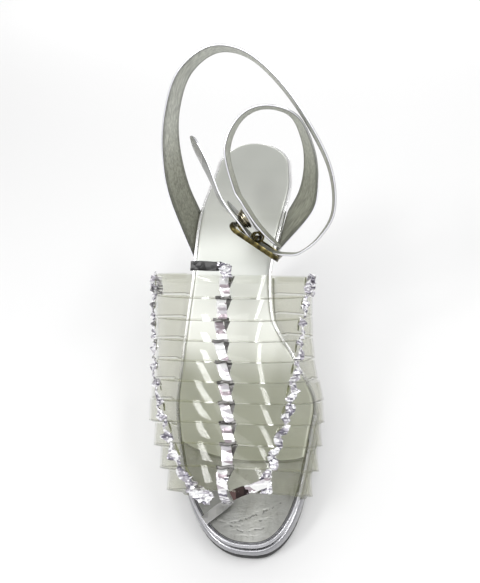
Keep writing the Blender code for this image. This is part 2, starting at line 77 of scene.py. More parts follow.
# Footbed line and outline
FOOTBED_LENGTH = 238.6
LINE_POINTS = 481
BALL_STATION = 165.0
BALL_HEIGHT = 27.0
TOE_SWING = 12.9
TOE_SWING_START = 100.0
HEEL_ROUND = 22.0
TOE_ROUND = 190.0
TOE_POWER = 2.48
HEEL_ROWS = 16
MIDDLE_ROWS = 64
TOE_ROWS = 22
FIRST_ROW = 0.03
LAST_ROW = 0.97
SLOPE = (
    ("station", "slope_deg"),
    (0, 19), (40, 21), (90, 45), (130, 36), (165, 13), (200, 11), (240, 9),
)
OUTLINE = (
    ("station", "lateral", "medial"),
    (22, 21.0, 25.0), (35, 23.7, 26.0), (60, 28.0, 22.4), (95, 30.0, 16.6), (115, 32.0, 18.0),
    (140, 34.2, 31.0), (165, 35.2, 40.4), (182, 33.4, 36.8), (200, 30.4, 32.4), (240, 26.0, 25.4),
)

# Footbed board: flanks from the bottom up, then the top face; its toe rows are split finely for the creases
# Columns: inset, depth
BOARD_FLANK = ((5.6, 4.6), (5.2, 2.8), (2.4, 2.5), (2.35, 0.7))
BOARD_TOP_INSET = 2.45
BOARD_TOP_DEPTH = 0.25
BOARD_ACROSS = 111
FINE_ROWS = 23
FINE_STEP = 0.2

# Creases pressed into the footbed by the toes; their wander and fade are a noise size and amount
CREASE_STEPS = 14
# Creases deeper than this are coloured dark: painted shade in their troughs
CREASE_SHADE_DEPTH = 0.05
CREASE_WANDER = (1.6, 0.7)
CREASE_FADE = (2.2, 1.3)
CREASE_FADE_SEED = 20
CREASE_EVEN = 1.0
CREASE_LEAST = 0.35
RIDGE_SHARE = 0.25
RIDGE_AWAY = 2.4
RIDGE_WIDTH = 1.5
RIDGE_REACH = 5
# Columns: depth, half_width, points as (station, x)
CREASES = (
    (0.10, 0.40, ((228.0, 4.5), (227.5, 8.0), (225.0, 13.8), (223.0, 18.3), (218.5, 24.9), (217.0, 28.0))),
    (0.09, 0.38, ((231.0, 8.0), (231.5, 11.4), (230.5, 16.4), (229.0, 21.1))),
    (0.07, 0.36, ((227.0, -2.5), (227.6, -0.5), (229.0, 5.2))),
    (0.06, 0.38, ((222.5, 8.0), (222.0, 12.4), (219.5, 17.5), (215.5, 21.5))),
    (0.07, 0.36, ((226.5, 18.5), (224.5, 22.1), (221.5, 26.2))),
    (0.06, 0.34, ((217.0, 27.0), (212.5, 30.5), (209.0, 31.0))),
    (0.05, 0.36, ((219.5, -4.0), (221.0, 1.5), (220.0, 6.5))),
    (0.08, 0.34, ((229.6, 5.0), (229.0, 10.0), (227.0, 15.5), (225.8, 19.0))),
    (0.07, 0.32, ((226.2, 9.0), (224.6, 13.0), (222.4, 17.0), (220.6, 22.0), (219.8, 25.0))),
    (0.06, 0.32, ((233.2, 6.0), (233.8, 12.0), (233.0, 17.0))),
)

# Rim bead, from the board over the top and down the flank; past RIM_LINE_START its grooves are dark, painted
# shade
RIM_LINE_START = 185.0
BEAD = (
    ("inset", "depth", "groove"),
    (2.25, 1.1, 0), (2.15, 0.4, 0), (2.05, 0.05, 0), (1.9, -0.08, 0), (1.75, 0.05, 1), (1.62, 0.28, 1),
    (1.45, 0.05, 0), (1.3, -0.16, 0), (1.1, -0.27, 0), (0.8, -0.28, 0), (0.45, -0.14, 0), (0.2, 0.12, 0),
    (0.04, 0.6, 0), (0.0, 1.1, 0), (0.05, 1.6, 1), (0.3, 2.15, 1), (0.7, 2.4, 1), (2.25, 2.4, 0),
)

# Sock lining; its front edge runs from the little toe side to the big toe side
SOCK_INSET = 2.4
SOCK_WALL = 0.4
SOCK_RISE = 0.2
SOCK_EDGE_DROP = 0.3
SOCK_EDGE_WIDTH = 0.45
SOCK_EDGE_SHARES = (0.0, 0.006)
SOCK_FIRST_SHARE = 0.02
SOCK_ACROSS = 41
SOCK_HEEL_ROWS = 70
SOCK_HEEL_SHARE = 0.35
SOCK_ROWS = 60
SOCK_LAST_ROWS = (0.985, 0.99, 0.995, 1.0)
SOCK_FRONT = (
    ("across", "station"),
    (0.0, 190.0), (0.08, 193.0), (0.16, 195.0), (0.25, 196.5), (0.38, 198.0), (0.53, 198.5),
    (0.69, 198.0), (0.82, 197.5), (0.93, 196.5), (1.0, 195.0),
)

# Platform and outsole
CLEARANCE = 0.3
INSOLE_THICKNESS = 4.6
SOLE_DEPTH = INSOLE_THICKNESS + CLEARANCE
OUTSOLE_THICKNESS = 2.7
SHANK_THICKNESS = 2.0
PLATFORM_START = 93.0
UNDERSIDE = (
    ("y", "z"),
    (-80, 5.4), (-66, 3.6), (-52, 3.0), (18, 3.0), (28, 5.0), (38, 13.0), (48, 28.0), (58, 47.0),
    (70, 70.0),
)
# Columns: inset, height_share
PLATFORM_FLANK = (
    (1.4, 0.0), (0.55, 0.02), (0.0, 0.09), (-0.45, 0.25), (-0.7, 0.45), (-0.8, 0.65), (-0.7, 0.85),
    (-0.35, 0.96), (0.3, 1.0),
)
# Columns: side, inset, down
SOLE_RING = (
    ("lateral", 0.2, 0.0), ("medial", 0.2, 0.0), ("medial", 0.05, 0.5),
    ("medial", 0.7, 1.0), ("lateral", 0.7, 1.0), ("lateral", 0.05, 0.5),
)
SHANK_RING = (
    ("lateral", 3.0, 0.0), ("medial", 3.0, 0.0), ("medial", 3.4, 0.5),
    ("medial", 4.5, 1.0), ("lateral", 4.5, 1.0), ("lateral", 3.4, 0.5),
)

# Heel, with the breast cover that the outsole ends in
HEEL_STATION = 48.0
SHANK_STATIONS = (88.0, 82.0, 76.0, 70.0, 64.0, HEEL_STATION + 8)
BREAST_THICKNESS = 1.4
BREAST_TURN_DROP = 2.5
BREAST_TOP_HALF = 23.0
BREAST_SHARE = 0.92
BREAST_STEPS = 4
# Columns: way, tuck, down
BREAST_RING = ((-1, 0.0, 0.0), (1, 0.0, 0.0), (1, 0.1, 0.5), (1, 0.6, 1.0), (-1, 0.6, 1.0), (-1, 0.1, 0.5))
HEEL_TIP_HEIGHT = 6.0
HEEL = (
    ("z", "breast_y", "back_y", "half_width"),
    (74, 105.0, 137.0, 17.0), (58, 111.5, 134.0, 11.5), (40, 115.0, 132.0, 8.0),
    (20, 116.8, 130.6, 6.2), (HEEL_TIP_HEIGHT + CLEARANCE, 117.4, 130.0, 5.6),
)
HEEL_STATIONS = np.array([HEEL_STATION - 2, 40.0, 33.0, 27.0, 22.0, 17.0, 12.5, 9.0, 6.0, 3.6, 1.8, 0.6])
HEEL_TOP_INSET = 1.0
HEEL_TOP_BACK = 1.2
HEEL_STEPS = 5
TIP_AHEAD = 1.6
TIP_SPREAD = 0.4
# Columns: z, tuck
TIP_RINGS = ((HEEL_TIP_HEIGHT, 0.3), (HEEL_TIP_HEIGHT - 0.3, 0.0), (0.4, 0.0), (0.0, 0.4))

# Vamp: rows down its length, counted in strips
STRIP_COUNT = 10
ARCH_POWER = 2.3
ARCH_UNDERCUT = 0.35
ARCH_START_OUT = 2.6
CREST_ANGLE = 89.0
PROBE_STRIP = 0.15
PROBE_ANGLE = 3.0
VAMP = (
    ("strip", "lateral_station", "medial_station", "crest_x", "crest_y", "crest_z",
     "lateral_reach", "medial_reach"),
    (0, 91, 93, 0.0, 25.5, 91.0, -47.5, 40.0),
    (2, 117, 114, 0.8, 6.5, 78.3, -46.0, 40.5),
    (4, 141, 138, 1.6, -10.5, 67.2, -43.5, 42.0),
    (6, 165, 162, 2.8, -26.5, 56.8, -43.5, 46.5),
    (8, 193, 188, 4.5, -42.0, 46.7, -35.0, 45.5),
    (10, 216, 214.5, 6.5, -59.0, 36.0, -24.0, 40.5),
)

# Clear strips: each narrows below NOTCH_ANGLE, tucks under the footbed and is set at its own twist and roll
STRIP_WALL = 1.0
STRIP_LAP = 0.7
STRIP_CROWN = 0.25
STRIP_OVERLAP = 0.05
STRIP_ROWS = 7
STRIP_STEPS = 30
NOTCH_ANGLE = 24.0
NOTCH_KEEP = 0.84
NOTCH_FADE = 8.0
LEVEL_FADE = 10.0
LAP_FADE = 7.0
SET_FADE = 24.0
SET_REACH = 24.0
SIDE_COLUMNS = 12
FOLD_COLUMN = 10
# Looks of a strip, each followed by the look of its cut edge
CLEAR, CLEAR_SIDE, CLEAR_LINE, CLEAR_FOLD = range(0, 8, 2)
EDGE_LINE_START = 0.95
HEM_WIDTH = 0.34
HEM_WALL = 0.5
HEM_ROWS = 4
HEM_LAP = 0.1
HEM_DROP = 1.25
# Columns: out, depth
TUCK = ((-3.4, 3.75), (-1.4, 3.75), (0.5, 3.7), (1.7, 3.1), (2.3, 2.0))
STRIP_SET = (
    ("strip", "lateral_twist", "lateral_roll", "medial_twist", "medial_roll"),
    (0.5, 0.06, 0.0, -0.02, 0.0), (1.5, 0.07, 0.0, -0.04, 0.0), (3.5, 0.08, 0.0, 0.04, 0.0),
    (4.5, 0.11, 0.0, 0.09, 0.01), (6.5, 0.12, 0.0, 0.11, 0.03), (9.5, 0.09, 0.0, 0.12, 0.06),
)

# Laces: their lines over the strips; folds are a noise size and amount
LACE_PROBE = 0.2
LACE_ACROSS = 9
LACE_LINE = (
    ("strip", "centre_shift", "lateral_deg", "medial_deg"),
    (0.0, -0.6, 18, 25), (1.0, -1.6, 19, 30), (2.0, -2.4, 20, 35), (3.0, -2.4, 21, 38),
    (4.0, -0.9, 25, 42), (5.0, 0.3, 35, 49), (6.0, 0.8, 44, 54), (7.0, 1.1, 47, 57),
    (8.0, 1.0, 48, 62), (9.0, -0.8, 52, 65), (9.6, -2.6, 57, 67), (10.0, -3.2, 60, 67),
)
CENTER_WIDTH = 4.8
CENTER_SLANT = 2.2
CENTER_RUN = (0.06, 0.9)
CENTER_STEPS = 13
CENTER_LIFT = 0.5
CENTER_BOW = 0.7
CENTER_BOW_POWER = 0.6
CENTER_SWELL = 0.06
CENTER_CURL = 0.25
CENTER_FOLDS = (4.5, 0.4)
CENTER_SEED = 3
UNDERFOLD_RUN = (0.05, 0.55)
UNDERFOLD_STEPS = 9
UNDERFOLD_LIFT = 0.25
UNDERFOLD_AWAY = 2.9
UNDERFOLD_SLIDE = 0.5
UNDERFOLD_HALF = 1.5
UNDERFOLD_TAPER = 1.3
UNDERFOLD_FOLDS = (3.0, 0.2)
UNDERFOLD_WALL = 0.2
UNDERFOLD_SEED = 41
BAR_HALF = 3.9
BAR_POINTS = 9
BAR_LIFT = 0.35
BAR_SWAY = 0.25
BAR_PROFILE = ((0.75, -0.25), (0.8, 0.1), (0.45, 0.35), (-0.45, 0.35), (-0.8, 0.1), (-0.75, -0.25))
SIDE_WIDTH = 5.0
SIDE_RUN = (0.01, 0.98)
SIDE_STEPS = 19
SIDE_TWIST = 0.6
SIDE_FLUTTER = 0.3
SIDE_SWAY = 0.8
TWIST_PHASE = 1.3
SWAY_PHASE = 0.9
SIDE_LIFT = 1.2
SIDE_BOW = 0.5
SIDE_PINCH = 0.3
SIDE_PINCH_POWER = 0.7
SIDE_RIPPLE = 0.2
SIDE_RIPPLE_PACE = 9
SIDE_CURL = 0.5
SIDE_FOLDS = (2.0, 0.8)
SIDE_SEED = {"lateral": 51, "medial": 71}
SLIT_RUN = (0.12, 0.5)
SLIT_STEPS = 9
SLIT_LIFT = 0.2
SLIT_AWAY = 2.1
SLIT_SLIDE = 0.5
SLIT_HALF = 0.35
SLIT_SWELL = 0.25
SLIT_FOLDS = (3.0, 0.25)
SLIT_WALL = 0.25
SLIT_SEED = 9
LACE_WALL = 0.3
LACE_THIN_CURL = 0.1
END_WALL = 0.35
LUMP_WALL = 0.5
END_STEPS = 5

# Ends of the laces, at the top of the vamp and at the toe
# Columns: x, y, z, half_width
CENTER_KNOT = (
    (-0.6, 20.5, 93.4, 2.2), (-1.5, 23.0, 95.8, 3.0), (-2.2, 26.0, 96.4, 3.2), (-3.6, 28.0, 95.3, 2.8),
    (-6.4, 28.0, 94.9, 2.2),
)
CENTER_TAB = (
    (-5.4, 27.9, 95.1, 2.3), (-10.0, 27.8, 95.2, 2.4), (-15.0, 27.8, 95.4, 2.4), (-20.0, 27.5, 95.6, 2.4),
)
CENTER_OVER = (
    (3.2, -55.0, 40.4, 2.0), (2.9, -58.0, 39.0, 2.0), (3.4, -60.4, 35.2, 1.9), (3.9, -60.5, 30.5, 1.9),
    (3.6, -58.5, 25.0, 2.0), (3.9, -55.0, 20.2, 2.2),
)
CENTER_TAIL = (
    (4.4, -52.8, 19.3, 2.3), (0.0, -56.6, 18.0, 2.4), (-3.5, -59.6, 17.2, 2.4), (-7.2, -63.0, 16.5, 2.4),
)
LATERAL_HEAD = (
    (-45.2, 41.5, 64.5, 2.6), (-45.6, 42.0, 68.5, 3.2), (-45.2, 42.3, 73.0, 3.4), (-44.6, 42.5, 77.2, 2.8),
)
LATERAL_LUMP = (
    (-13.4, -55.2, 35.8, 2.4), (-11.0, -57.3, 33.4, 3.1), (-8.3, -58.5, 31.8, 3.4), (-5.5, -59.3, 30.6, 3.2),
    (-2.8, -60.0, 29.0, 2.4),
)
MEDIAL_HEAD = (
    (38.2, 42.0, 65.5, 1.8), (38.6, 42.3, 70.0, 2.4), (38.8, 42.4, 75.0, 2.5), (39.8, 42.0, 80.0, 1.8),
)
MEDIAL_FOLD = (
    (24.4, -53.2, 40.4, 1.6), (23.4, -55.2, 40.0, 1.9), (21.2, -56.4, 39.4, 2.0), (17.0, -57.8, 38.4, 2.0),
    (13.6, -58.8, 37.6, 2.0),
)
MEDIAL_TAIL = (
    (14.4, -58.6, 37.6, 2.0), (12.0, -59.3, 37.1, 2.1), (10.0, -59.9, 36.4, 2.1), (7.2, -60.7, 35.1, 2.1),
)
# A dark ribbon under the medial tail: a painted shadow
MEDIAL_UNDER_SHADOW = ((22.8, -57.2, 36.8, 0.9), (20.0, -57.9, 36.3, 1.1), (17.6, -58.5, 35.9, 0.8))

# Straps: a point of the middle line, then how its width leans and swings
STRAP_WIDTH = 18.0
STRAP_STEPS = 8
STRAP_END_LEAST = 0.02
TAIL_LENGTH = 50.0
TAIL_TIP = 12.0
LATERAL_STRAP = (
    ("x", "y", "z", "lean_deg", "swing_deg"),
    (-35.6, 82, 108, 0, -23), (-37, 85, 131, 8, -17), (-34, 89, 151, 15, -12),
    (-25.8, 93, 168.7, 21, -10), (-10.5, 94.5, 179.0, 26, -6), (6, 93, 176.9, 29, -2),
    (22, 87, 165.0, 31, 2), (37, 77, 147, 31, 4), (48, 67, 127, 30, 5), (50, 57, 109, 30, 4),
    (43, 49.5, 98, 31, 2),
)
MEDIAL_STRAP = (
    ("x", "y", "z", "lean_deg", "swing_deg"),
    (35, 80, 101, -12, 26), (38, 80, 118, 2, 25), (36.5, 81.5, 134, 12, 22), (29.4, 83, 148.8, 21, 17),
    (15, 82, 154.0, 27, 11), (3, 78, 149.7, 30, 6), (-3.5, 70, 137, 31, 2),
)
# Columns: along, out, turn_deg
LATERAL_LAP = (
    (17.5, -2.5, 0), (12.4, 2.8, 0), (6.5, 6.2, 0), (1, 7.1, 0), (-5, 7.5, 0), (-14.8, 5.7, -4),
    (-25.7, 4.0, -11), (-33.3, 1.4, -15), (-47.2, -5.9, -20), (-63.4, -12.9, -21),
)
MEDIAL_LAP = (
    (-28.5, -6.9, 0), (-20.9, -3.8, 0), (-10.9, -0.5, 0), (-4, 1.0, 0), (2, 1.7, 0), (8, 2.0, 0),
)
# Columns: out, depth
STRAP_FOOT = ((1.2, 3.6), (1.3, 0.4))
LATERAL_FOOT = (80.0, 52.0)
MEDIAL_FOOT = (79.0, 54.0)

# Round a strap: silver outside, bright edge between two dark lines, lining inside; the bright edge is a
# painted highlight and the dark lines are painted shade
FACE, EDGE_HIGHLIGHT, LINED, SEAM, DARK, SHADED = range(6)
STRAP_RING = (
    ("across", "out", "look"),
    (8.7, 0.5, FACE), (6.0, 0.52, FACE), (3.0, 0.53, FACE), (0.0, 0.54, FACE),
    (-3.0, 0.53, FACE), (-6.0, 0.52, FACE), (-8.7, 0.5, DARK), (-8.95, 0.42, DARK),
    (-9.02, 0.34, EDGE_HIGHLIGHT), (-9.05, 0.0, EDGE_HIGHLIGHT), (-9.02, -0.34, DARK), (-8.9, -0.42, DARK),
    (-8.6, -0.46, SEAM), (-6.6, -0.48, LINED), (-4.0, -0.49, LINED), (0.0, -0.5, LINED),
    (4.0, -0.49, LINED), (6.6, -0.48, SEAM), (8.6, -0.46, DARK), (8.9, -0.42, DARK),
    (9.02, -0.34, EDGE_HIGHLIGHT), (9.05, 0.0, EDGE_HIGHLIGHT), (9.02, 0.34, DARK), (8.95, 0.42, DARK),
)

# Buckle: places are along the strap, across it to the front, and out from the ankle
BUCKLE_CENTRE = (18.5, 49.0, 100.0)
BUCKLE_HEADING = 23.4
BUCKLE_DIP = 32.0
BUCKLE_LEAN = 31.8
BUCKLE_LENGTH = 27.8
BUCKLE_HEIGHT = 25.0
FRAME_OUT = 7.8
FRAME_CORNER = 3.5
FRAME_CORNER_POINTS = 8
FRAME_CENTRE_ALONG = -3.6
FRAME_SLANT = 0.098
FRAME_HOOK = 1.6
FRAME_HOOK_REACH = 5.0
FRAME_CORNERS = ((1, 1, 0), (-1, 1, 90), (-1, -1, 180), (1, -1, 270))
FRAME_PROFILE = (
    (1.15, 0.7), (0.8, 1.2), (-0.8, 1.2), (-1.15, 0.7), (-1.15, -0.7), (-0.8, -1.2), (0.8, -1.2),
    (1.15, -0.7),
)
BAR_RADIUS = 0.9
BAR_ALONG = -4.0
BAR_OUT = 4.7
BAR_STEPS = 3
# Columns: across, out
BAR_END = (
    (BUCKLE_HEIGHT / 2, FRAME_OUT), (11.6, BAR_OUT + 1.7), (10.8, BAR_OUT + 0.7), (9.8, BAR_OUT),
    (5.0, BAR_OUT),
)
PRONG_RADIUS = 0.65
PRONG_STEPS = 5
# Columns: along, out
PRONG = ((-2.0, 8.75), (4.0, 8.5), (8.0, 8.4), (FRAME_CENTRE_ALONG + BUCKLE_LENGTH / 2 + 1.2, 8.35))
CURL_RADIUS = 2.4
CURL_WIRE = 0.5
CURL_POINTS = 24
CURL_SIDES = 8
# Columns: across, shift
CURLS = ((5.8, -0.5), (7.0, 0.5))

# Leather loop round the bar of the buckle, and the leaf held between the discs of the stud
STUD_ALONG = -14.7
LOOP_WALL = 0.9
LOOP_TURN = BAR_RADIUS + CLEARANCE + 0.5
LOOP_TURN_ANGLES = (0, 45, 90, 135, 180)
LOOP_HALF = 5.0
LOOP_ACROSS = 7
LOOP_STEPS = 4
# Columns: along, out
LOOP_START = ((-18.8, -1.5), (STUD_ALONG, 0.0), (-10.9, 1.4), (-8.0, 2.5))
LOOP_STOP = (-7.5, BAR_OUT + LOOP_TURN - 0.5)
LEAF_WALL = 0.6
LEAF_ROLL = 0.22
LEAF_ACROSS = 5
LEAF_STEPS = 4
# Columns: along, out, half_width
LEAF = (
    (-14.7, 2.1, 2.4), (-18.5, 2.5, 3.2), (-22.0, 2.2, 2.9), (-25.5, 1.5, 1.9), (-28.0, 0.8, 0.5),
)

# Stud of stacked discs
STUD_RADIUS = 4.7
STUD_SPREAD = 1.16
STUD_TILT = 0.25
STUD_FOOT_OUT = 0.5
STUD_SIDES = 28
# Columns: height, radius
DISCS = (
    (0.0, 0.3), (0.0, STUD_RADIUS - 0.2), (0.25, STUD_RADIUS), (0.95, STUD_RADIUS), (1.15, STUD_RADIUS - 0.4),
    (1.2, 3.7), (1.45, 3.7), (1.5, 4.2), (1.75, 4.4), (2.2, 4.4), (2.4, 4.1), (2.45, 3.3), (2.7, 3.3),
    (2.75, 3.8), (3.0, 4.0), (3.3, 3.9), (3.5, 3.0), (3.7, 2.9), (3.75, 3.2), (4.0, 3.3), (4.3, 2.9),
    (4.4, 0.3),
)


def column(table, name):
    """The values under a name of the table's first row."""
    names, *rows = table
    return np.array([row[names.index(name)] for row in rows], dtype=float)


def smooth(at, xs, ys):
    """Monotone cubic through the rows of a table."""
    xs = np.asarray(xs, float)
    ys = np.asarray(ys, float)
    step = np.diff(xs)
    rise = np.diff(ys) / step
    slope = np.zeros_like(ys)
    slope[0] = rise[0]
    slope[-1] = rise[-1]
    for i in range(1, len(xs) - 1):
        if rise[i - 1] * rise[i] > 0:
            a = 2 * step[i] + step[i - 1]
            b = step[i] + 2 * step[i - 1]
            slope[i] = (a + b) / (a / rise[i - 1] + b / rise[i])
    at = np.asarray(at, float)
    k = np.clip(np.searchsorted(xs, at) - 1, 0, len(xs) - 2)
    t = np.clip((at - xs[k]) / step[k], 0, 1)
    h = step[k]
    value = ys[k] * (1 + 2 * t) * (1 - t) ** 2 + ys[k + 1] * t * t * (3 - 2 * t)
    return value + h * slope[k] * t * (1 - t) ** 2 - h * slope[k + 1] * t * t * (1 - t)


def read(table, at, name):
    """A column read smoothly along the table's first one."""
    return smooth(at, column(table, table[0][0]), column(table, name))


def flowing(rows, steps):
    """Points along a rounded path through rows of any shape."""
    rows = np.asarray(rows, float)
    before = np.concatenate([[2 * rows[0] - rows[1]], rows, [2 * rows[-1] - rows[-2]]])
    out = []
    for i in range(1, len(before) - 2):
        a, b, c, d = before[i - 1:i + 3]
        for k in range(steps):
            t = k / steps
            out.append(0.5 * (2 * b + (c - a) * t + (2 * a - 5 * b + 4 * c - d) * t * t
                              + (3 * b - a - 3 * c + d) * t ** 3))
    out.append(rows[-1])
    return np.array(out)


def unit(v):
    v = np.asarray(v, float)
    return v / np.linalg.norm(v, axis=-1, keepdims=True)


LINE_STATIONS = np.linspace(0, FOOTBED_LENGTH, LINE_POINTS)
LINE_ANGLES = np.radians(read(SLOPE, LINE_STATIONS, "slope_deg"))
HALF_STEP = np.diff(LINE_STATIONS) / 2
LINE_Y = np.concatenate([[0], np.cumsum(-(np.cos(LINE_ANGLES[1:]) + np.cos(LINE_ANGLES[:-1])) * HALF_STEP)])
LINE_Z = np.concatenate([[0], np.cumsum(-(np.sin(LINE_ANGLES[1:]) + np.sin(LINE_ANGLES[:-1])) * HALF_STEP)])
LINE_Y -= np.interp(BALL_STATION, LINE_STATIONS, LINE_Y)
LINE_Z += BALL_HEIGHT - np.interp(BALL_STATION, LINE_STATIONS, LINE_Z)


def place(station, x, depth):
    """A point at a station of the footbed, x across and depth below the top face."""
    station = np.asarray(station, float)
    a = np.interp(station, LINE_STATIONS, LINE_ANGLES)
    past = station - np.clip(station, 0, FOOTBED_LENGTH)
    y = np.interp(station, LINE_STATIONS, LINE_Y) - past * np.cos(a) + depth * np.sin(a)
    z = np.interp(station, LINE_STATIONS, LINE_Z) - past * np.sin(a) - depth * np.cos(a)
    return np.stack([np.broadcast_to(x, y.shape), y, z], -1)


def half_width(station, side):
    full = read(OUTLINE, station, side)
    heel = np.clip((HEEL_ROUND - station) / HEEL_ROUND, 0, 1)
    toe = np.clip((station - TOE_ROUND) / (FOOTBED_LENGTH - TOE_ROUND), 0, 1)
    return full * np.sqrt(1 - heel ** 2) * (1 - toe ** TOE_POWER) ** (1 / TOE_POWER)


def edge_x(station, side):
    station = np.asarray(station, float)
    swing = TOE_SWING * np.clip((station - TOE_SWING_START)
                                / (FOOTBED_LENGTH - TOE_SWING_START), 0, 1) ** 2
    return swing + OUTWARD[side] * half_width(station, side)


# Stations down the footbed, close together where the ends turn
STATIONS = np.concatenate([
    HEEL_ROUND * (1 - np.cos(np.linspace(FIRST_ROW, 1, HEEL_ROWS) * pi / 2)),
    np.linspace(HEEL_ROUND, TOE_ROUND, MIDDLE_ROWS)[1:-1],
    TOE_ROUND + (FOOTBED_LENGTH - TOE_ROUND) * np.sin(np.linspace(0, LAST_ROW, TOE_ROWS) * pi / 2),
])
OUTLINE_LOOP = np.vstack([
    np.stack([STATIONS, edge_x(STATIONS, "lateral")], -1),
    np.stack([STATIONS, edge_x(STATIONS, "medial")], -1)[::-1],
])
OUTLINE_AHEAD = np.roll(OUTLINE_LOOP, -1, 0) - np.roll(OUTLINE_LOOP, 1, 0)
OUTLINE_IN = unit(np.stack([-OUTLINE_AHEAD[:, 1], OUTLINE_AHEAD[:, 0]], -1))


def rim(inset):
    """Footbed edge moved inwards: (station, x) rows of the lateral and of the medial side."""
    moved = OUTLINE_LOOP + OUTLINE_IN * inset
    return moved[:len(STATIONS)], moved[len(STATIONS):][::-1]


def arch(strip, side, angle):
    """Points of the vamp: angle 0 at the sole edge, 90 at the crest."""
    strip, angle = np.broadcast_arrays(np.asarray(strip, float), np.asarray(angle, float))
    station = read(VAMP, strip, side + "_station")
    foot = place(station, edge_x(station, side), 0.0)
    outward = OUTWARD[side]
    a = np.radians(angle)
    height = np.sin(a) ** (2 / ARCH_POWER)
    across = np.clip(np.cos(a), 0, 1) ** (2 / ARCH_POWER)
    reach = read(VAMP, strip, side + "_reach")
    start = foot[..., 0] + outward * ARCH_START_OUT
    under = np.clip(1 - height / ARCH_UNDERCUT, 0, 1)
    side_x = np.where(outward * (reach - start) > 0, reach - (reach - start) * under ** 2, start)
    crest_x = read(VAMP, strip, "crest_x")
    x = crest_x + (side_x - crest_x) * across
    y = foot[..., 1] + (read(VAMP, strip, "crest_y") - foot[..., 1]) * height
    z = foot[..., 2] + (read(VAMP, strip, "crest_z") - foot[..., 2]) * height
    return np.stack([x, y, z], -1)


def arch_out(strip, side, angle):
    """Direction square to the vamp, away from the foot."""
    strip, angle = np.broadcast_arrays(np.asarray(strip, float), np.asarray(angle, float))
    along = (arch(np.minimum(strip + PROBE_STRIP, STRIP_COUNT), side, angle)
             - arch(np.maximum(strip - PROBE_STRIP, 0.0), side, angle))
    around = (arch(strip, side, np.minimum(angle + PROBE_ANGLE, CREST_ANGLE))
              - arch(strip, side, np.maximum(angle - PROBE_ANGLE, 0.0)))
    out = unit(np.cross(around, along))
    middle = np.stack([read(VAMP, strip, "crest_x"), read(VAMP, strip, "crest_y"),
                       np.zeros_like(strip)], -1)
    facing = np.sum(out * (arch(strip, side, angle) - middle), -1, keepdims=True)
    return np.where(facing > 0, out, -out)


# Directions of the buckle: along the strap, across it to the front, and out from the ankle
HEADING = radians(BUCKLE_HEADING)
DIP = radians(BUCKLE_DIP)
ALONG = np.array([cos(DIP) * cos(HEADING), -cos(DIP) * sin(HEADING), -sin(DIP)])
ACROSS = np.array([0.0, -cos(radians(BUCKLE_LEAN)), sin(radians(BUCKLE_LEAN))])
ACROSS = unit(ACROSS - ALONG * np.dot(ACROSS, ALONG))
OUT = np.cross(ALONG, ACROSS)


def at_buckle(along, across, out):
    return np.array(BUCKLE_CENTRE) + ALONG * along + ACROSS * across + OUT * out


# Modelling


def take(obj):
    bpy.ops.object.select_all(action="DESELECT")
    obj.select_set(True)
    bpy.context.view_layer.objects.active = obj


def volume(obj):
    """What a closed mesh holds; below zero where its faces point inwards."""
    mesh = bmesh.new()
    mesh.from_mesh(obj.data)
    held = mesh.calc_volume(signed=True)
    mesh.free()
    return held


def skin(name, rows, closed=False, capped=False, ring=False, looks=None):
    """Lays a grid over rows of points. closed joins each row's ends, ring the first and last row."""
    rows = np.asarray(rows, float)
    if closed:
        rows = np.concatenate([rows, rows[:, :1]], axis=1)
    if ring:
        rows = np.concatenate([rows, rows[:1]], axis=0)
    count, wide = rows.shape[:2]
    bpy.ops.object.select_all(action="DESELECT")
    bpy.ops.mesh.primitive_grid_add(x_subdivisions=wide - 1, y_subdivisions=count - 1, size=1.0)
    obj = bpy.context.object
    obj.name = name
    obj.data.name = name
    obj.data.vertices.foreach_set("co", (rows * MM).ravel())
    if looks is not None:
        each = np.broadcast_to(np.asarray(looks, dtype=np.int32), (count - 1, wide - 1)).ravel()
        obj.data.polygons.foreach_set("material_index", each)
    obj.data.update()
    if closed or capped or ring:
        bpy.ops.object.mode_set(mode="EDIT")
        bpy.ops.mesh.select_all(action="SELECT")
        bpy.ops.mesh.remove_doubles(threshold=1e-6)
        if capped:
            bpy.ops.mesh.select_all(action="DESELECT")
            bpy.ops.mesh.select_non_manifold()
            bpy.ops.mesh.fill_holes(sides=0)
        bpy.ops.mesh.select_all(action="SELECT")
        bpy.ops.mesh.normals_make_consistent(inside=False)
        bpy.ops.object.mode_set(mode="OBJECT")
        if volume(obj) < 0:
            bpy.ops.object.mode_set(mode="EDIT")
            bpy.ops.mesh.select_all(action="SELECT")
            bpy.ops.mesh.flip_normals()
            bpy.ops.object.mode_set(mode="OBJECT")
    return obj


def finish_with(obj, kind, **settings):
    take(obj)
    mod = obj.modifiers.new(kind.title(), kind)
    for key, value in settings.items():
        setattr(mod, key, value)
    bpy.ops.object.modifier_apply(modifier=mod.name)


def thicken(obj, wall, offset=0.0, edge_look=0):
    finish_with(obj, "SOLIDIFY", thickness=wall * MM, offset=offset, use_even_offset=False,
                material_offset_rim=edge_look)


def join(name, parts):
    bpy.ops.object.select_all(action="DESELECT")
    for part in parts:
        part.select_set(True)
    bpy.context.view_layer.objects.active = parts[0]
    bpy.ops.object.join()
    parts[0].name = name
    parts[0].data.name = name
    return parts[0]


def hand_over(obj, finishes, solid, smooth_deg=None):
    if smooth_deg is not None:
        take(obj)
        bpy.ops.object.shade_smooth_by_angle(angle=radians(smooth_deg))
    for finish in finishes:
        obj.data.materials.append(finish)
    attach(obj, "root")
    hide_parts(solid)


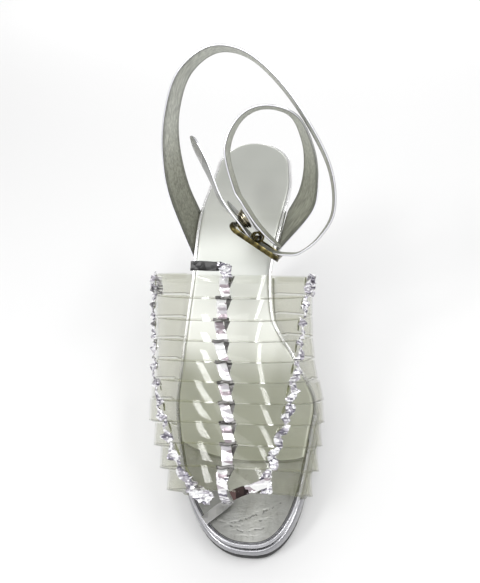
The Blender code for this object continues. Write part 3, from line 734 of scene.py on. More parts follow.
def sweep(name, path, profile, side, closed=False):
    """A profile of (sideways, up) points carried along a path; side is a direction it never meets."""
    path = np.asarray(path, float)
    if closed:
        ahead = unit(np.roll(path, -1, 0) - np.roll(path, 1, 0))
    else:
        ahead = unit(np.gradient(path, axis=0))
    side = np.asarray(side, float)
    up = unit(side - ahead * np.sum(ahead * side, -1, keepdims=True))
    sideways = np.cross(ahead, up)
    profile = np.asarray(profile, float)
    rings = path[:, None] + sideways[:, None] * profile[None, :, :1] + up[:, None] * profile[None, :, 1:]
    return skin(name, rings, closed=True, capped=not closed, ring=closed)


def round_profile(radius, points=10):
    a = np.linspace(0, 2 * pi, points, endpoint=False)
    return np.stack([radius * np.cos(a), radius * np.sin(a)], -1)


def crumple(points, size, amount, seed):
    """Moves points about by smooth noise of a given size."""
    points = np.asarray(points, float)
    flat = points.reshape(-1, 3)
    start = Vector([seed * step for step in SEED_STEP])
    shift = np.array([noise.noise_vector(Vector(p) / size + start) for p in flat])
    return (flat + shift * amount).reshape(points.shape)


# Finishes


def new_finish(name, colour, metallic, roughness, **sockets):
    mat = bpy.data.materials.new(name)
    mat.use_nodes = True
    base = {"Base_Color": (*colour, 1.0), "Metallic": metallic, "Roughness": roughness}
    for key, value in {**base, **sockets}.items():
        mat.node_tree.nodes["Principled BSDF"].inputs[key.replace("_", " ")].default_value = value
    return mat


def node(mat, kind, sockets, **settings):
    """A shader node; a socket takes a value or the output of another node."""
    made = mat.node_tree.nodes.new(kind)
    for key, value in settings.items():
        setattr(made, key, value)
    for key, value in sockets.items():
        if isinstance(value, bpy.types.NodeSocket):
            mat.node_tree.links.new(value, made.inputs[key])
        else:
            made.inputs[key].default_value = value
    return made


def where(mat, scale=(1, 1, 1), turn=(0, 0, 0), kind="POINT"):
    spot = node(mat, "ShaderNodeTexCoord", {}).outputs["Object"]
    sockets = {"Vector": spot, "Scale": scale, "Rotation": turn}
    return node(mat, "ShaderNodeMapping", sockets, vector_type=kind).outputs["Vector"]


def cloud(mat, spot, scale, detail=4.0, rough=0.55, bend=0.0):
    sockets = {"Vector": spot, "Scale": scale, "Detail": detail, "Roughness": rough, "Distortion": bend}
    return node(mat, "ShaderNodeTexNoise", sockets).outputs["Fac"]


def cells(mat, spot, scale, output="Color"):
    return node(mat, "ShaderNodeTexVoronoi", {"Vector": spot, "Scale": scale}).outputs[output]


def grain(mat, spot, scale):
    return cells(mat, spot, scale, "Distance")


def ramp(mat, value, stops):
    """Colours at places from 0 to 1."""
    made = node(mat, "ShaderNodeValToRGB", {"Fac": value})
    points = made.color_ramp.elements
    while len(points) < len(stops):
        points.new(0.5)
    for point, (at, colour) in zip(points, stops):
        point.position = at
        point.color = (*colour, 1.0)
    return made.outputs["Color"]


def grey(level):
    return (level, level, level)


def greys(*stops):
    return tuple((at, grey(level)) for at, level in stops)


def span(mat, value, low, high, start=0.3, stop=0.7):
    """Carries a value between start and stop to another span."""
    sockets = {"Value": value, "From Min": start, "From Max": stop, "To Min": low, "To Max": high}
    return node(mat, "ShaderNodeMapRange", sockets).outputs["Result"]


def along_axis(mat, spot, axis, start, stop):
    """0 to 1 between two places on one axis, in metres."""
    parts = node(mat, "ShaderNodeSeparateXYZ", {"Vector": spot})
    return span(mat, parts.outputs[axis], 0.0, 1.0, start, stop)


def multiplied(mat, first, second):
    """One colour darkened by another."""
    mixed = node(mat, "ShaderNodeMix", {"Factor": 1.0}, data_type="RGBA", blend_type="MULTIPLY")
    colours = [socket for socket in mixed.inputs if socket.type == "RGBA"]
    for source, socket in zip((first, second), colours):
        mat.node_tree.links.new(source, socket)
    return next(socket for socket in mixed.outputs if socket.type == "RGBA")


def to_shader(mat, socket, value):
    mat.node_tree.links.new(value, mat.node_tree.nodes["Principled BSDF"].inputs[socket])


def relief(mat, heights):
    """Bumps one after another: (height, strength, distance in mm)."""
    below = {}
    for height, strength, distance in heights:
        sockets = {"Height": height, "Strength": strength, "Distance": distance * MM, **below}
        below = {"Normal": node(mat, "ShaderNodeBump", sockets).outputs["Normal"]}
    to_shader(mat, "Normal", below["Normal"])


def silver_foil_leather(name, tone, roughness):
    silver = (tone, tone, tone * 1.01)
    mat = new_finish(name, silver, 0.85, roughness, Coat_Weight=0.25, Coat_Roughness=0.12)
    spot = where(mat)
    patches = cloud(mat, spot, 60.0)
    to_shader(mat, "Base Color", ramp(mat, patches, ((0.3, grey(tone * 0.9)), (0.7, silver))))
    to_shader(mat, "Roughness", span(mat, cloud(mat, spot, 220.0), roughness - 0.06, roughness + 0.1))
    wrinkles = cloud(mat, where(mat, scale=(1.0, 0.35, 1.0)), 240.0, detail=5.0, rough=0.6, bend=0.6)
    relief(mat, ((wrinkles, 0.25, 0.35), (grain(mat, spot, 900.0), 0.12, 0.12)))
    return mat


def strap_lining_leather(name, tone):
    """Grey lining with slanting wrinkles; darker towards the foot as painted shade, and darker in the
    wrinkles' troughs, partly the lining's streaks and partly painted shade.
    """
    mat = new_finish(name, (0.27, 0.275, 0.225), 0.0, 0.5)
    spot = where(mat)
    shades = ((0.0, (0.25, 0.255, 0.205)), (0.42, (0.31, 0.315, 0.26)), (0.85, (0.5, 0.51, 0.455)),
              (1.0, (0.48, 0.49, 0.44)))
    toned = tuple((at, tuple(tone * c for c in colour)) for at, colour in shades)
    # Painted shade: darker low down near the foot, lighter higher up
    rising = ramp(mat, along_axis(mat, spot, "Z", 0.098, 0.152), toned)
    slanting = where(mat, scale=(0.007, 0.0012, 0.0012), turn=(0, radians(-58), 0), kind="TEXTURE")
    wrinkles = cloud(mat, slanting, 1.0, detail=4.0, rough=0.6, bend=0.5)
    # Colour follows the wrinkle noise that also makes the bump, so troughs come out darker: streaks of the
    # lining and painted shade
    worn = ramp(mat, wrinkles, greys((0.34, 0.54), (0.45, 0.7), (0.55, 0.84), (0.68, 1.0)))
    to_shader(mat, "Base Color", multiplied(mat, rising, worn))
    relief(mat, ((wrinkles, 0.5, 0.5), (grain(mat, spot, 1100.0), 0.25, 0.12)))
    return mat


def pearl_lining(name):
    """Pearly lining of the footbed, darker from the ball of the foot to the toe, with lighter bands of
    painted glare along its length.
    """
    mat = new_finish(name, (0.62, 0.635, 0.585), 0.6, 0.36, Coat_Weight=0.2, Coat_Roughness=0.3)
    spot = where(mat)
    # Colour down the length: the lighter bands are painted glare; the toe end is simply a darker tone
    tones = ramp(mat, along_axis(mat, spot, "Y", -0.04, 0.125), (
        (0.0, (0.42, 0.43, 0.37)), (0.07, (0.45, 0.46, 0.4)), (0.19, (0.54, 0.552, 0.487)),
        (0.3, (0.57, 0.583, 0.522)), (0.42, (0.7, 0.71, 0.68)), (0.48, (0.75, 0.76, 0.74)),
        (0.56, (0.61, 0.622, 0.605)), (0.63, (0.53, 0.545, 0.512)), (0.77, (0.8, 0.815, 0.765)),
        (0.85, (0.69, 0.702, 0.655)), (0.95, (0.6, 0.615, 0.57))))
    patches = ramp(mat, cloud(mat, spot, 28.0, detail=3.0), greys((0.3, 0.94), (0.7, 1.0)))
    to_shader(mat, "Base Color", multiplied(mat, tones, patches))
    fine = cloud(mat, where(mat, scale=(1.0, 0.3, 0.3)), 420.0, detail=4.0)
    relief(mat, ((cloud(mat, spot, 36.0, detail=3.0), 0.12, 0.6), (fine, 0.12, 0.12)))
    return mat


def footbed_silver(name, tone):
    """Worn silver of the toe end, lighter across the middle with painted shade towards both sides; tone
    darkens it for the painted shade in the creases and along the sock lining's front edge.
    """
    mat = new_finish(name, grey(0.5 * tone), 0.5, 0.36)
    spot = where(mat)
    scuffs = cloud(mat, where(mat, scale=(2.4, 0.8, 1.0)), 150.0, detail=6.0, rough=0.7)
    worn = ramp(mat, scuffs, (
        (0.28, (0.36 * tone, 0.36 * tone, 0.33 * tone)), (0.42, (0.56 * tone, 0.565 * tone, 0.53 * tone)),
        (0.7, (0.65 * tone, 0.655 * tone, 0.625 * tone))))
    # Painted shade: darker towards both sides, lighter across the middle
    across = ramp(mat, along_axis(mat, spot, "X", -0.012, 0.036),
                  greys((0.0, 0.56), (0.3, 0.64), (0.57, 1.0), (0.8, 0.7), (1.0, 0.56)))
    to_shader(mat, "Base Color", multiplied(mat, worn, across))
    slanting = where(mat, scale=(0.6, 1.6, 1.0), turn=(0, 0, radians(20)))
    wrinkles = cloud(mat, slanting, 190.0, detail=6.0, rough=0.65, bend=1.2)
    relief(mat, ((wrinkles, 0.5, 0.6), (grain(mat, spot, 900.0), 0.2, 0.15)))
    return mat


def polished_silver(name, tone, roughness):
    mat = new_finish(name, (tone, tone, tone * 1.05), 0.95, roughness, Coat_Weight=0.4, Coat_Roughness=0.08)
    haze = cloud(mat, where(mat), 90.0)
    to_shader(mat, "Roughness", span(mat, haze, roughness - 0.04, roughness + 0.08))
    wavy = cloud(mat, where(mat, scale=(1.0, 1.0, 0.25)), 70.0, detail=3.0)
    relief(mat, ((wavy, 0.12, 0.5),))
    return mat


def rim_silver(name, roughness):
    """Silver of the footbed rim, paler from the waist to the heel; its darker toe end is painted shade."""
    mat = polished_silver(name, 1.0, roughness)
    towards_heel = along_axis(mat, where(mat), "Y", 0.0, 0.055)
    to_shader(mat, "Base Color", ramp(mat, towards_heel, ((0.0, (0.5, 0.5, 0.525)), (1.0, grey(1.0)))))
    return mat


def black_rubber(name, tone):
    mat = new_finish(name, grey(tone), 0.0, 0.42)
    spot = where(mat)
    patches = ramp(mat, cloud(mat, spot, 80.0), greys((0.3, tone * 0.7), (0.75, tone * 1.8)))
    to_shader(mat, "Base Color", patches)
    to_shader(mat, "Roughness", span(mat, cloud(mat, spot, 300.0), 0.34, 0.55))
    relief(mat, ((cloud(mat, spot, 900.0), 0.15, 0.1),))
    return mat


def clear_vinyl(name, colour, alpha):
    mat = new_finish(name, colour, 0.0, 0.07, Alpha=alpha, Coat_Weight=1.0, Coat_Roughness=0.03,
                     Coat_IOR=2.0, IOR=1.9)
    smear = cloud(mat, where(mat, scale=(0.5, 1.5, 1.5)), 60.0, detail=4.0)
    darker = tuple(c * 0.88 for c in colour)
    to_shader(mat, "Base Color", ramp(mat, smear, ((0.3, darker), (0.7, colour))))
    to_shader(mat, "Roughness", span(mat, smear, 0.04, 0.12))
    relief(mat, ((cloud(mat, where(mat), 45.0, detail=2.0), 0.045, 0.6),))
    return mat


def crinkled_foil(name, facet, tones, shares=(0.16, 0.38), stretch=(1, 1, 1)):
    """Silver foil broken into flat facets, each given a dark, dull or bright tone as painted reflections;
    tones run from dark to bright, shares end the first two.
    """
    mat = new_finish(name, tones[-1], 0.65, 0.16)
    spot = where(mat, scale=stretch, turn=(0.2, 0, 0.5))
    pick = node(mat, "ShaderNodeSeparateColor", {"Color": cells(mat, spot, facet)})
    dark, dull, bright = tones
    first, second = shares
    soft = 0.02
    to_shader(mat, "Base Color", ramp(mat, pick.outputs["Red"], (
        (0.0, dark), (first - soft, dark), (first + soft, dull), (second - soft, dull),
        (second + soft, bright), (1.0, bright))))
    to_shader(mat, "Roughness", span(mat, pick.outputs["Green"], 0.1, 0.26, 0.0, 1.0))
    ripples = cloud(mat, spot, 700.0, detail=3.0)
    relief(mat, ((grain(mat, spot, facet), 0.5, 0.5), (ripples, 0.15, 0.2)))
    return mat


def antique_brass(name, dark, middle, bright):
    mat = new_finish(name, middle, 1.0, 0.3)
    patina = cloud(mat, where(mat), 260.0, detail=5.0)
    to_shader(mat, "Base Color", ramp(mat, patina, ((0.38, dark), (0.54, middle), (0.7, bright))))
    to_shader(mat, "Roughness", span(mat, patina, 0.42, 0.2))
    relief(mat, ((patina, 0.15, 0.15),))
    return mat


SILVER = silver_foil_leather("strap_silver", 0.64, 0.3)
SILVER_SHADED = silver_foil_leather("strap_silver_shaded", 0.45, 0.34)
# Bright silver along the strap's edge: a painted highlight
STRAP_EDGE_HIGHLIGHT = polished_silver("strap_edge_highlight", 0.95, 0.22)
LINING = strap_lining_leather("strap_lining", 1.4)
LINING_EDGE = strap_lining_leather("strap_lining_edge", 0.95)
# Dark silver for the lines beside the edge: painted shade
EDGE_LINE = silver_foil_leather("strap_edge_shade_line", 0.17, 0.45)
PEARL = pearl_lining("sock_lining_pearl")
FOOTBED = footbed_silver("footbed_silver", 0.85)
# Dark copy of the toe silver for the sock lining's front edge: a painted shadow line
SOCK_EDGE = footbed_silver("sock_lining_edge_shade", 0.3)
# Near-black copy of the toe silver for the crease troughs: painted shade
FOOTBED_CREASE_SHADE = footbed_silver("footbed_crease_shade", 0.36)
RIM = rim_silver("footbed_rim_silver", 0.26)
# Near-black silver for the rim's grooves: painted shade
RIM_GROOVE_SHADE = polished_silver("footbed_rim_groove_shade", 0.1, 0.4)
WRAP = polished_silver("platform_silver", 0.37, 0.24)
HEEL_WRAP = polished_silver("heel_silver", 0.6, 0.24)
BLACK = black_rubber("outsole_black", 0.012)
TIP = black_rubber("heel_tip_black", 0.018)
VINYL = clear_vinyl("clear_vinyl", (0.3, 0.31, 0.05), 0.082)
VINYL_SIDE = clear_vinyl("clear_vinyl_side", (0.35, 0.355, 0.06), 0.15)
VINYL_HEM = clear_vinyl("clear_vinyl_hem", (0.36, 0.37, 0.2), 0.05)
VINYL_EDGE = clear_vinyl("clear_vinyl_edge", (0.15, 0.155, 0.06), 0.72)
VINYL_LINE = clear_vinyl("clear_vinyl_line", (0.12, 0.125, 0.04), 0.32)
VINYL_FOLD = clear_vinyl("clear_vinyl_fold", (0.15, 0.15, 0.05), 0.42)
VINYL_SLIT = clear_vinyl("clear_vinyl_slit", (0.16, 0.17, 0.045), 0.8)
FOIL = crinkled_foil("lace_foil", 340.0, ((0.42, 0.36, 0.39), (0.74, 0.71, 0.75), grey(1.0)),
                     shares=(0.2, 0.5), stretch=(0.55, 1.5, 1.5))
FOIL_FINE = crinkled_foil("lace_foil_crinkled", 640.0,
                          ((0.17, 0.16, 0.2), (0.48, 0.46, 0.51), (0.98, 0.98, 1.0)),
                          shares=(0.22, 0.58), stretch=(0.5, 1.7, 1.7))
# Dark foil for the fold, the bars and the piece under the medial tail: painted shade
FOIL_DARK = crinkled_foil("lace_foil_shaded", 300.0,
                          ((0.04, 0.038, 0.036), (0.09, 0.086, 0.08), (0.16, 0.155, 0.15)))
FOIL_TAB = crinkled_foil("lace_foil_tab", 300.0, (grey(0.012), grey(0.03), grey(0.06)))
FOIL_DULL = crinkled_foil("lace_foil_dull", 260.0, ((0.4, 0.4, 0.39), (0.48, 0.48, 0.47), (0.56, 0.56, 0.55)))
# Dark brown foil for the medial tail: a painted dark brown reflection
FOIL_BROWN_REFLECTION = crinkled_foil("lace_foil_brown_reflection", 300.0,
                           ((0.02, 0.012, 0.012), (0.05, 0.032, 0.03), (0.13, 0.08, 0.075)))
BRASS = antique_brass("antique_brass", (0.035, 0.03, 0.014), (0.14, 0.115, 0.045), (0.42, 0.35, 0.15))
STUD_BRASS = antique_brass("stud_brass", (0.12, 0.11, 0.075), (0.38, 0.345, 0.25), (0.8, 0.75, 0.6))


# Lace ends: rows, direction of their width, folds, seed, finish and wall
LACE_ENDS = {
    "center": (
        (CENTER_KNOT, (1, 0.2, 0.2), (2.2, 1.3), 5, FOIL_FINE, END_WALL),
        (CENTER_TAB, (0, 0.8, 0.6), (8.0, 0.3), 6, FOIL_TAB, END_WALL),
        (CENTER_OVER, (1, 0, 0), (2.2, 0.6), 7, FOIL_FINE, END_WALL),
        (CENTER_TAIL, (0.7, -0.7, 0), (6.0, 0.25), 8, FOIL_DULL, END_WALL),
    ),
    "lateral": (
        (LATERAL_HEAD, (1, 0, 0), (2.0, 1.0), 21, FOIL_FINE, END_WALL),
        (LATERAL_LUMP, (0.25, 0.6, 0.75), (1.5, 1.2), 22, FOIL_FINE, LUMP_WALL),
    ),
    "medial": (
        (MEDIAL_HEAD, (1, 0, 0), (1.8, 1.2), 31, FOIL_FINE, END_WALL),
        (MEDIAL_FOLD, (0.25, 0.6, 0.75), (2.4, 0.5), 32, FOIL, END_WALL),
        (MEDIAL_TAIL, (0.25, 0.6, 0.75), (7.0, 0.25), 33, FOIL_BROWN_REFLECTION, END_WALL),
        (MEDIAL_UNDER_SHADOW, (0.1, 0.6, 0.8), (3.0, 0.2), 34, FOIL_DARK, END_WALL),
    ),
}
STRIP_LOOKS = (VINYL, VINYL_EDGE, VINYL_SIDE, VINYL_EDGE, VINYL_LINE, VINYL_EDGE, VINYL_FOLD, VINYL_EDGE)
STRAP_LOOKS = (SILVER, STRAP_EDGE_HIGHLIGHT, LINING, LINING_EDGE, EDGE_LINE, SILVER_SHADED)


# Sole


def creases(station, x):
    """Depth of the toe creases, each a trough with a low ridge along its heel side."""
    depth = np.zeros_like(station)
    for seed, (deep, half, points) in enumerate(CREASES):
        path = flowing(points, CREASE_STEPS)
        path = crumple(np.pad(path, ((0, 0), (0, 1))), *CREASE_WANDER, seed)[:, :2]
        flat = np.pad(path, ((0, 0), (0, 1)))
        fade = crumple(flat, *CREASE_FADE, seed + CREASE_FADE_SEED)[:, 2]
        press = deep * np.clip(CREASE_EVEN + fade, CREASE_LEAST, 1.0)
        ahead = unit(np.gradient(path, axis=0))
        gap = np.stack([station, x], -1)[..., None, :] - path
        apart = np.linalg.norm(gap, axis=-1)
        near = np.argmin(apart, -1)
        apart = np.take_along_axis(apart, near[..., None], -1)[..., 0]
        side = np.take_along_axis(gap, near[..., None, None], -2)[..., 0, :]
        way = ahead[near]
        off = np.where(side[..., 0] * way[..., 1] - side[..., 1] * way[..., 0] > 0, apart, -apart)
        ridge = np.exp(-((off + RIDGE_AWAY * half) / (RIDGE_WIDTH * half)) ** 2)
        depth += press[near] * np.exp(-(apart / half) ** 2)
        depth -= RIDGE_SHARE * press[near] * ridge * (apart < RIDGE_REACH * half)
    return depth


def end_closed(rings, first=False):
    """Draws the last row of mirrored rings, and the first where asked, together on the middle line."""
    parts = [rings, (rings[-1:] + rings[-1:, ::-1]) / 2]
    if first:
        parts.insert(0, (rings[:1] + rings[:1, ::-1]) / 2)
    return np.concatenate(parts)


def fine_rim(inset):
    """The two sides of rim() with the toe rows split."""
    whole = np.arange(len(STATIONS))
    split = len(STATIONS) - FINE_ROWS
    fine = np.concatenate([whole[:split], np.arange(split, len(STATIONS) - 1 + FINE_STEP / 2, FINE_STEP)])
    return [np.stack([np.interp(fine, whole, points[:, c]) for c in (0, 1)], -1) for points in rim(inset)]


def make_footbed_board():
    share = np.linspace(0, 1, BOARD_ACROSS)
    lateral, medial = fine_rim(BOARD_TOP_INSET)
    station = lateral[:, :1] * (1 - share) + medial[:, :1] * share
    x = lateral[:, 1:] * (1 - share) + medial[:, 1:] * share
    worn = creases(station, x)
    top = place(station, x, BOARD_TOP_DEPTH + worn)
    flanks = {"lateral": [], "medial": []}
    for inset, depth in BOARD_FLANK:
        for side, points in zip(flanks, fine_rim(inset)):
            flanks[side].append(place(points[:, 0], points[:, 1], depth))
    rings = np.concatenate([np.stack(flanks["lateral"], 1), top, np.stack(flanks["medial"][::-1], 1)], 1)
    first = len(BOARD_FLANK)
    last = first + BOARD_ACROSS - 1
    looks = np.zeros((len(rings) + 1, rings.shape[1]), dtype=int)
    # The deeper parts of the creases take the darker finish: painted shade in the troughs
    looks[1:-1, first:last] = (worn[1:, 1:] + worn[:-1, :-1]) / 2 > CREASE_SHADE_DEPTH
    board = skin("footbed_board", end_closed(rings, first=True), closed=True, looks=looks)
    hand_over(board, (FOOTBED, FOOTBED_CREASE_SHADE), "insole", smooth_deg=60)


def make_footbed_rim():
    loops = []
    for inset, depth in zip(column(BEAD, "inset"), column(BEAD, "depth")):
        moved = OUTLINE_LOOP + OUTLINE_IN * inset
        loops.append(place(moved[:, 0], moved[:, 1], depth))
    # Past RIM_LINE_START the groove columns take the near-black finish: painted shade
    looks = np.where(OUTLINE_LOOP[:, :1] > RIM_LINE_START, column(BEAD, "groove"), 0)
    binding = skin("footbed_rim", np.stack(loops, 1), closed=True, ring=True, looks=looks)
    hand_over(binding, (RIM, RIM_GROOVE_SHADE), "insole", smooth_deg=70)


def make_sock_lining():
    lateral, medial = rim(SOCK_INSET)
    ends = np.array(SOCK_EDGE_SHARES)
    inner = np.linspace(SOCK_FIRST_SHARE, 1 - SOCK_FIRST_SHARE, SOCK_ACROSS)
    share = np.concatenate([ends, inner, 1 - ends[::-1]])
    front = read(SOCK_FRONT, share, "station")
    heel = 1 - np.cos(np.linspace(SOCK_FIRST_SHARE, 1, SOCK_HEEL_ROWS) * pi / 2)
    middle = np.linspace(SOCK_HEEL_SHARE, SOCK_LAST_ROWS[0], SOCK_ROWS)
    run = np.concatenate([heel * SOCK_HEEL_SHARE, middle[1:], SOCK_LAST_ROWS[1:]])
    start = lateral[0, 0]
    station = start + (front[None] - start) * run[:, None]
    left = np.interp(station, lateral[:, 0], lateral[:, 1])
    right = np.interp(station, medial[:, 0], medial[:, 1])
    x = left * (1 - share) + right * share
    edge = np.minimum(np.minimum(share, 1 - share)[None] * (right - left), front[None] - station)
    depth = -SOCK_RISE + SOCK_EDGE_DROP * np.clip(1 - edge / SOCK_EDGE_WIDTH, 0, 1) ** 2
    looks = np.zeros((len(run) - 1, len(share) - 1), dtype=int)
    # The last row, along the front edge, takes the dark finish: a painted shadow line
    looks[-1] = 1
    lining = skin("sock_lining", place(station, x, depth), looks=looks)
    thicken(lining, SOCK_WALL, offset=-1.0)
    hand_over(lining, (PEARL, SOCK_EDGE), "insole", smooth_deg=40)


def make_platform():
    keep = STATIONS > PLATFORM_START
    flanks = {"lateral": [], "medial": []}
    for inset, share in PLATFORM_FLANK:
        for side, points in zip(flanks, rim(inset)):
            top = place(points[keep, 0], points[keep, 1], SOLE_DEPTH)
            low = read(UNDERSIDE, top[:, 1], "z")
            top[:, 2] = low + (top[:, 2] - low) * share
            flanks[side].append(top)
    rings = np.concatenate([np.stack(flanks["lateral"], 1), np.stack(flanks["medial"][::-1], 1)], 1)
    block = skin("platform_block", end_closed(rings), closed=True, capped=True)
    hand_over(block, (WRAP,), "platform", smooth_deg=45)


def tread_rings():
    """Rings of the outsole under the platform, from the toe back."""
    keep = STATIONS > PLATFORM_START
    first, last = UNDERSIDE[1][0], UNDERSIDE[-1][0]
    ys = np.linspace(first, last, last - first + 1)
    slant = np.gradient(read(UNDERSIDE, ys, "z"))
    columns = []
    for side, inset, down in SOLE_RING:
        points = dict(zip(OUTWARD, rim(inset)))[side]
        edge = place(points[keep, 0], points[keep, 1], SOLE_DEPTH)
        edge[:, 2] = read(UNDERSIDE, edge[:, 1], "z") - CLEARANCE
        slope = np.arctan(np.interp(edge[:, 1], ys, slant))
        thick = down * (OUTSOLE_THICKNESS + (SHANK_THICKNESS - OUTSOLE_THICKNESS) * np.minimum(slope, 1.0))
        edge[:, 1] += thick * np.sin(slope)
        edge[:, 2] -= thick * np.cos(slope)
        columns.append(edge)
    return list(np.stack(columns, 1)[::-1])


def shank_ring(station):
    return [place(station, edge_x(station, side) - OUTWARD[side] * inset, SOLE_DEPTH + down * SHANK_THICKNESS)
            for side, inset, down in SHANK_RING]


def breast_rings():
    """Rings of the cover down the breast of the heel."""
    turn = place(HEEL_STATION, 0.0, SOLE_DEPTH + BREAST_TURN_DROP)
    ys = np.append(turn[1], column(HEEL, "breast_y") - CLEARANCE)
    zs = np.append(turn[2], column(HEEL, "z"))
    halves = np.append(BREAST_TOP_HALF, column(HEEL, "half_width") * BREAST_SHARE)
    rings = []
    for y, z, step_y, step_z, wide in zip(ys, zs, np.gradient(ys), np.gradient(zs), halves):
        run = np.hypot(step_y, step_z)
        out_y = step_z / run * BREAST_THICKNESS
        out_z = -step_y / run * BREAST_THICKNESS
        rings.append([(way * (wide - tuck), y + out_y * down, z + out_z * down)
                      for way, tuck, down in BREAST_RING])
    return list(flowing(rings, BREAST_STEPS))


def make_outsole():
    rings = tread_rings() + [shank_ring(station) for station in SHANK_STATIONS] + breast_rings()
    sole = skin("outsole_and_breast", rings, closed=True, capped=True)
    hand_over(sole, (BLACK,), "outsole", smooth_deg=40)


def heel_ring(y_front, y_back, half, z):
    share = 1 - (HEEL_STATIONS - HEEL_STATIONS[-1]) / (HEEL_STATIONS[0] - HEEL_STATIONS[-1])
    y = y_front + (y_back - y_front) * share
    points = []
    for side, order in (("lateral", slice(None)), ("medial", slice(None, None, -1))):
        x = edge_x(HEEL_STATIONS, side) / np.max(np.abs(edge_x(HEEL_STATIONS, side))) * half
        points += [(a, b, z) for a, b in zip(x[order], y[order])]
    return points


def make_heel():
    lateral, medial = rim(HEEL_TOP_INSET)
    top = []
    for points, order in ((lateral, slice(None)), (medial, slice(None, None, -1))):
        x = np.interp(HEEL_STATIONS, points[:, 0], points[:, 1])
        top += list(place(np.maximum(HEEL_STATIONS, HEEL_TOP_BACK), x, SOLE_DEPTH)[order])
    rings = [top] + [heel_ring(front, back, half, z) for z, front, back, half in HEEL[1:]]
    heel = skin("heel_block", flowing(rings, HEEL_STEPS), closed=True, capped=True)
    hand_over(heel, (HEEL_WRAP,), "heel", smooth_deg=50)


def make_heel_tip():
    front, back, half = HEEL[-1][1:]
    rings = [heel_ring(front - TIP_AHEAD + tuck, back + TIP_SPREAD - tuck, half + TIP_SPREAD - tuck, z)
             for z, tuck in TIP_RINGS]
    tip = skin("heel_tip", rings, closed=True, capped=True)
    hand_over(tip, (TIP,), "heel_top_piece", smooth_deg=40)


# Clear strips


def strip_rows(start, stop, count, lap):
    """Rows over the foot from tuck to tuck for a strip between two places down the vamp."""
    t = np.append(np.linspace(0, EDGE_LINE_START, count), 1.0)[:, None]
    strip = start + (stop - start) * t
    middle = (start + stop) / 2
    angles = 90.0 * np.linspace(0, 1, STRIP_STEPS)[None]
    narrow = NOTCH_KEEP + (1 - NOTCH_KEEP) * np.clip((angles - NOTCH_ANGLE) / NOTCH_FADE, 0, 1)
    halves = []
    for side, outward in OUTWARD.items():
        low = np.clip(middle + (strip - middle) * NOTCH_KEEP, 0, STRIP_COUNT)[:, 0]
        station = read(VAMP, low, side + "_station")
        tuck = [place(station, edge_x(station, side) + outward * out, depth) for out, depth in TUCK]
        at = np.clip(middle + (strip - middle) * narrow, 0, STRIP_COUNT)
        points = arch(at, side, angles)
        level = read(VAMP, np.full_like(at, middle), side + "_reach") - read(VAMP, at, side + "_reach")
        across = np.cos(np.radians(angles)) ** (2 / ARCH_POWER)
        points[..., 0] += level * across * np.clip(angles / LEVEL_FADE, 0, 1)
        off = np.clip(points[..., 0] - read(VAMP, at, "crest_x"), -SET_REACH, SET_REACH)
        tilt = read(STRIP_SET, middle, side + "_twist") * (t - 0.5) - read(STRIP_SET, middle, side + "_roll")
        rise = lap * t * np.clip(angles / LAP_FADE, 0, 1)
        rise = rise + (STRIP_CROWN * 4 * t * (1 - t) + tilt * off) * np.clip(angles / SET_FADE, 0, 1)
        points = points + rise[..., None] * arch_out(at, side, angles)
        halves.append(np.concatenate([np.stack(tuck, 1), points], 1))
    crest = (halves[0][:, -1:] + halves[1][:, -1:]) / 2
    return np.concatenate([halves[0][:, :-1], crest, halves[1][:, -2::-1]], 1)


def make_strips():
    for k in range(STRIP_COUNT):
        start = max(k - STRIP_OVERLAP, 0.0)
        stop = min(k + 1 + STRIP_OVERLAP, STRIP_COUNT)
        rows = strip_rows(start, stop, STRIP_ROWS, STRIP_LAP)
        looks = np.full((rows.shape[0] - 1, rows.shape[1] - 1), CLEAR)
        looks[:, :SIDE_COLUMNS] = looks[:, -SIDE_COLUMNS:] = CLEAR_SIDE
        looks[:, FOLD_COLUMN] = looks[:, -1 - FOLD_COLUMN] = CLEAR_FOLD
        looks[-1] = CLEAR_LINE
        looks[-1, :SIDE_COLUMNS] = looks[-1, -SIDE_COLUMNS:] = CLEAR_FOLD
        strip = skin("clear_strip_%02d" % (k + 1), rows, looks=looks)
        thicken(strip, STRIP_WALL, edge_look=1)
        hand_over(strip, STRIP_LOOKS, "upper", smooth_deg=50)


def make_hem():
    rows = strip_rows(0.0, HEM_WIDTH, HEM_ROWS, HEM_LAP)
    hem = skin("clear_hem", rows[:, len(TUCK):-len(TUCK)])
    finish_with(hem, "DISPLACE", strength=-HEM_DROP * MM, mid_level=0.0)
    thicken(hem, HEM_WALL, edge_look=1)
    hand_over(hem, (VINYL_HEM, VINYL_EDGE), "upper", smooth_deg=50)


# Laces


def lace_place(strip, lace):
    """Point of the vamp under a lace, with the directions out, across and along there."""
    strip = np.asarray(strip, float)
    side = "medial" if lace == "medial" else "lateral"
    angle = np.full_like(strip, CREST_ANGLE) if lace == "center" else read(LACE_LINE, strip, lace + "_deg")
    out = arch_out(strip, side, angle)
    point = arch(strip, side, angle)
    along = unit(arch(np.minimum(strip + LACE_PROBE, STRIP_COUNT), side, angle)
                 - arch(np.maximum(strip - LACE_PROBE, 0.0), side, angle))
    across = np.cross(out, along)
    across = unit(np.where(across[..., :1] > 0, across, -across))
    if lace == "center":
        point = point + across * read(LACE_LINE, strip, "centre_shift")[..., None]
    return point, out, across, along


def stretch(k, run, steps, lace):
    """Shares along a stretch of lace on strip k, with the point, out and across directions at each."""
    t = np.linspace(0, 1, steps)
    start, length = run
    return t, *lace_place(k + start + length * t, lace)[:3]


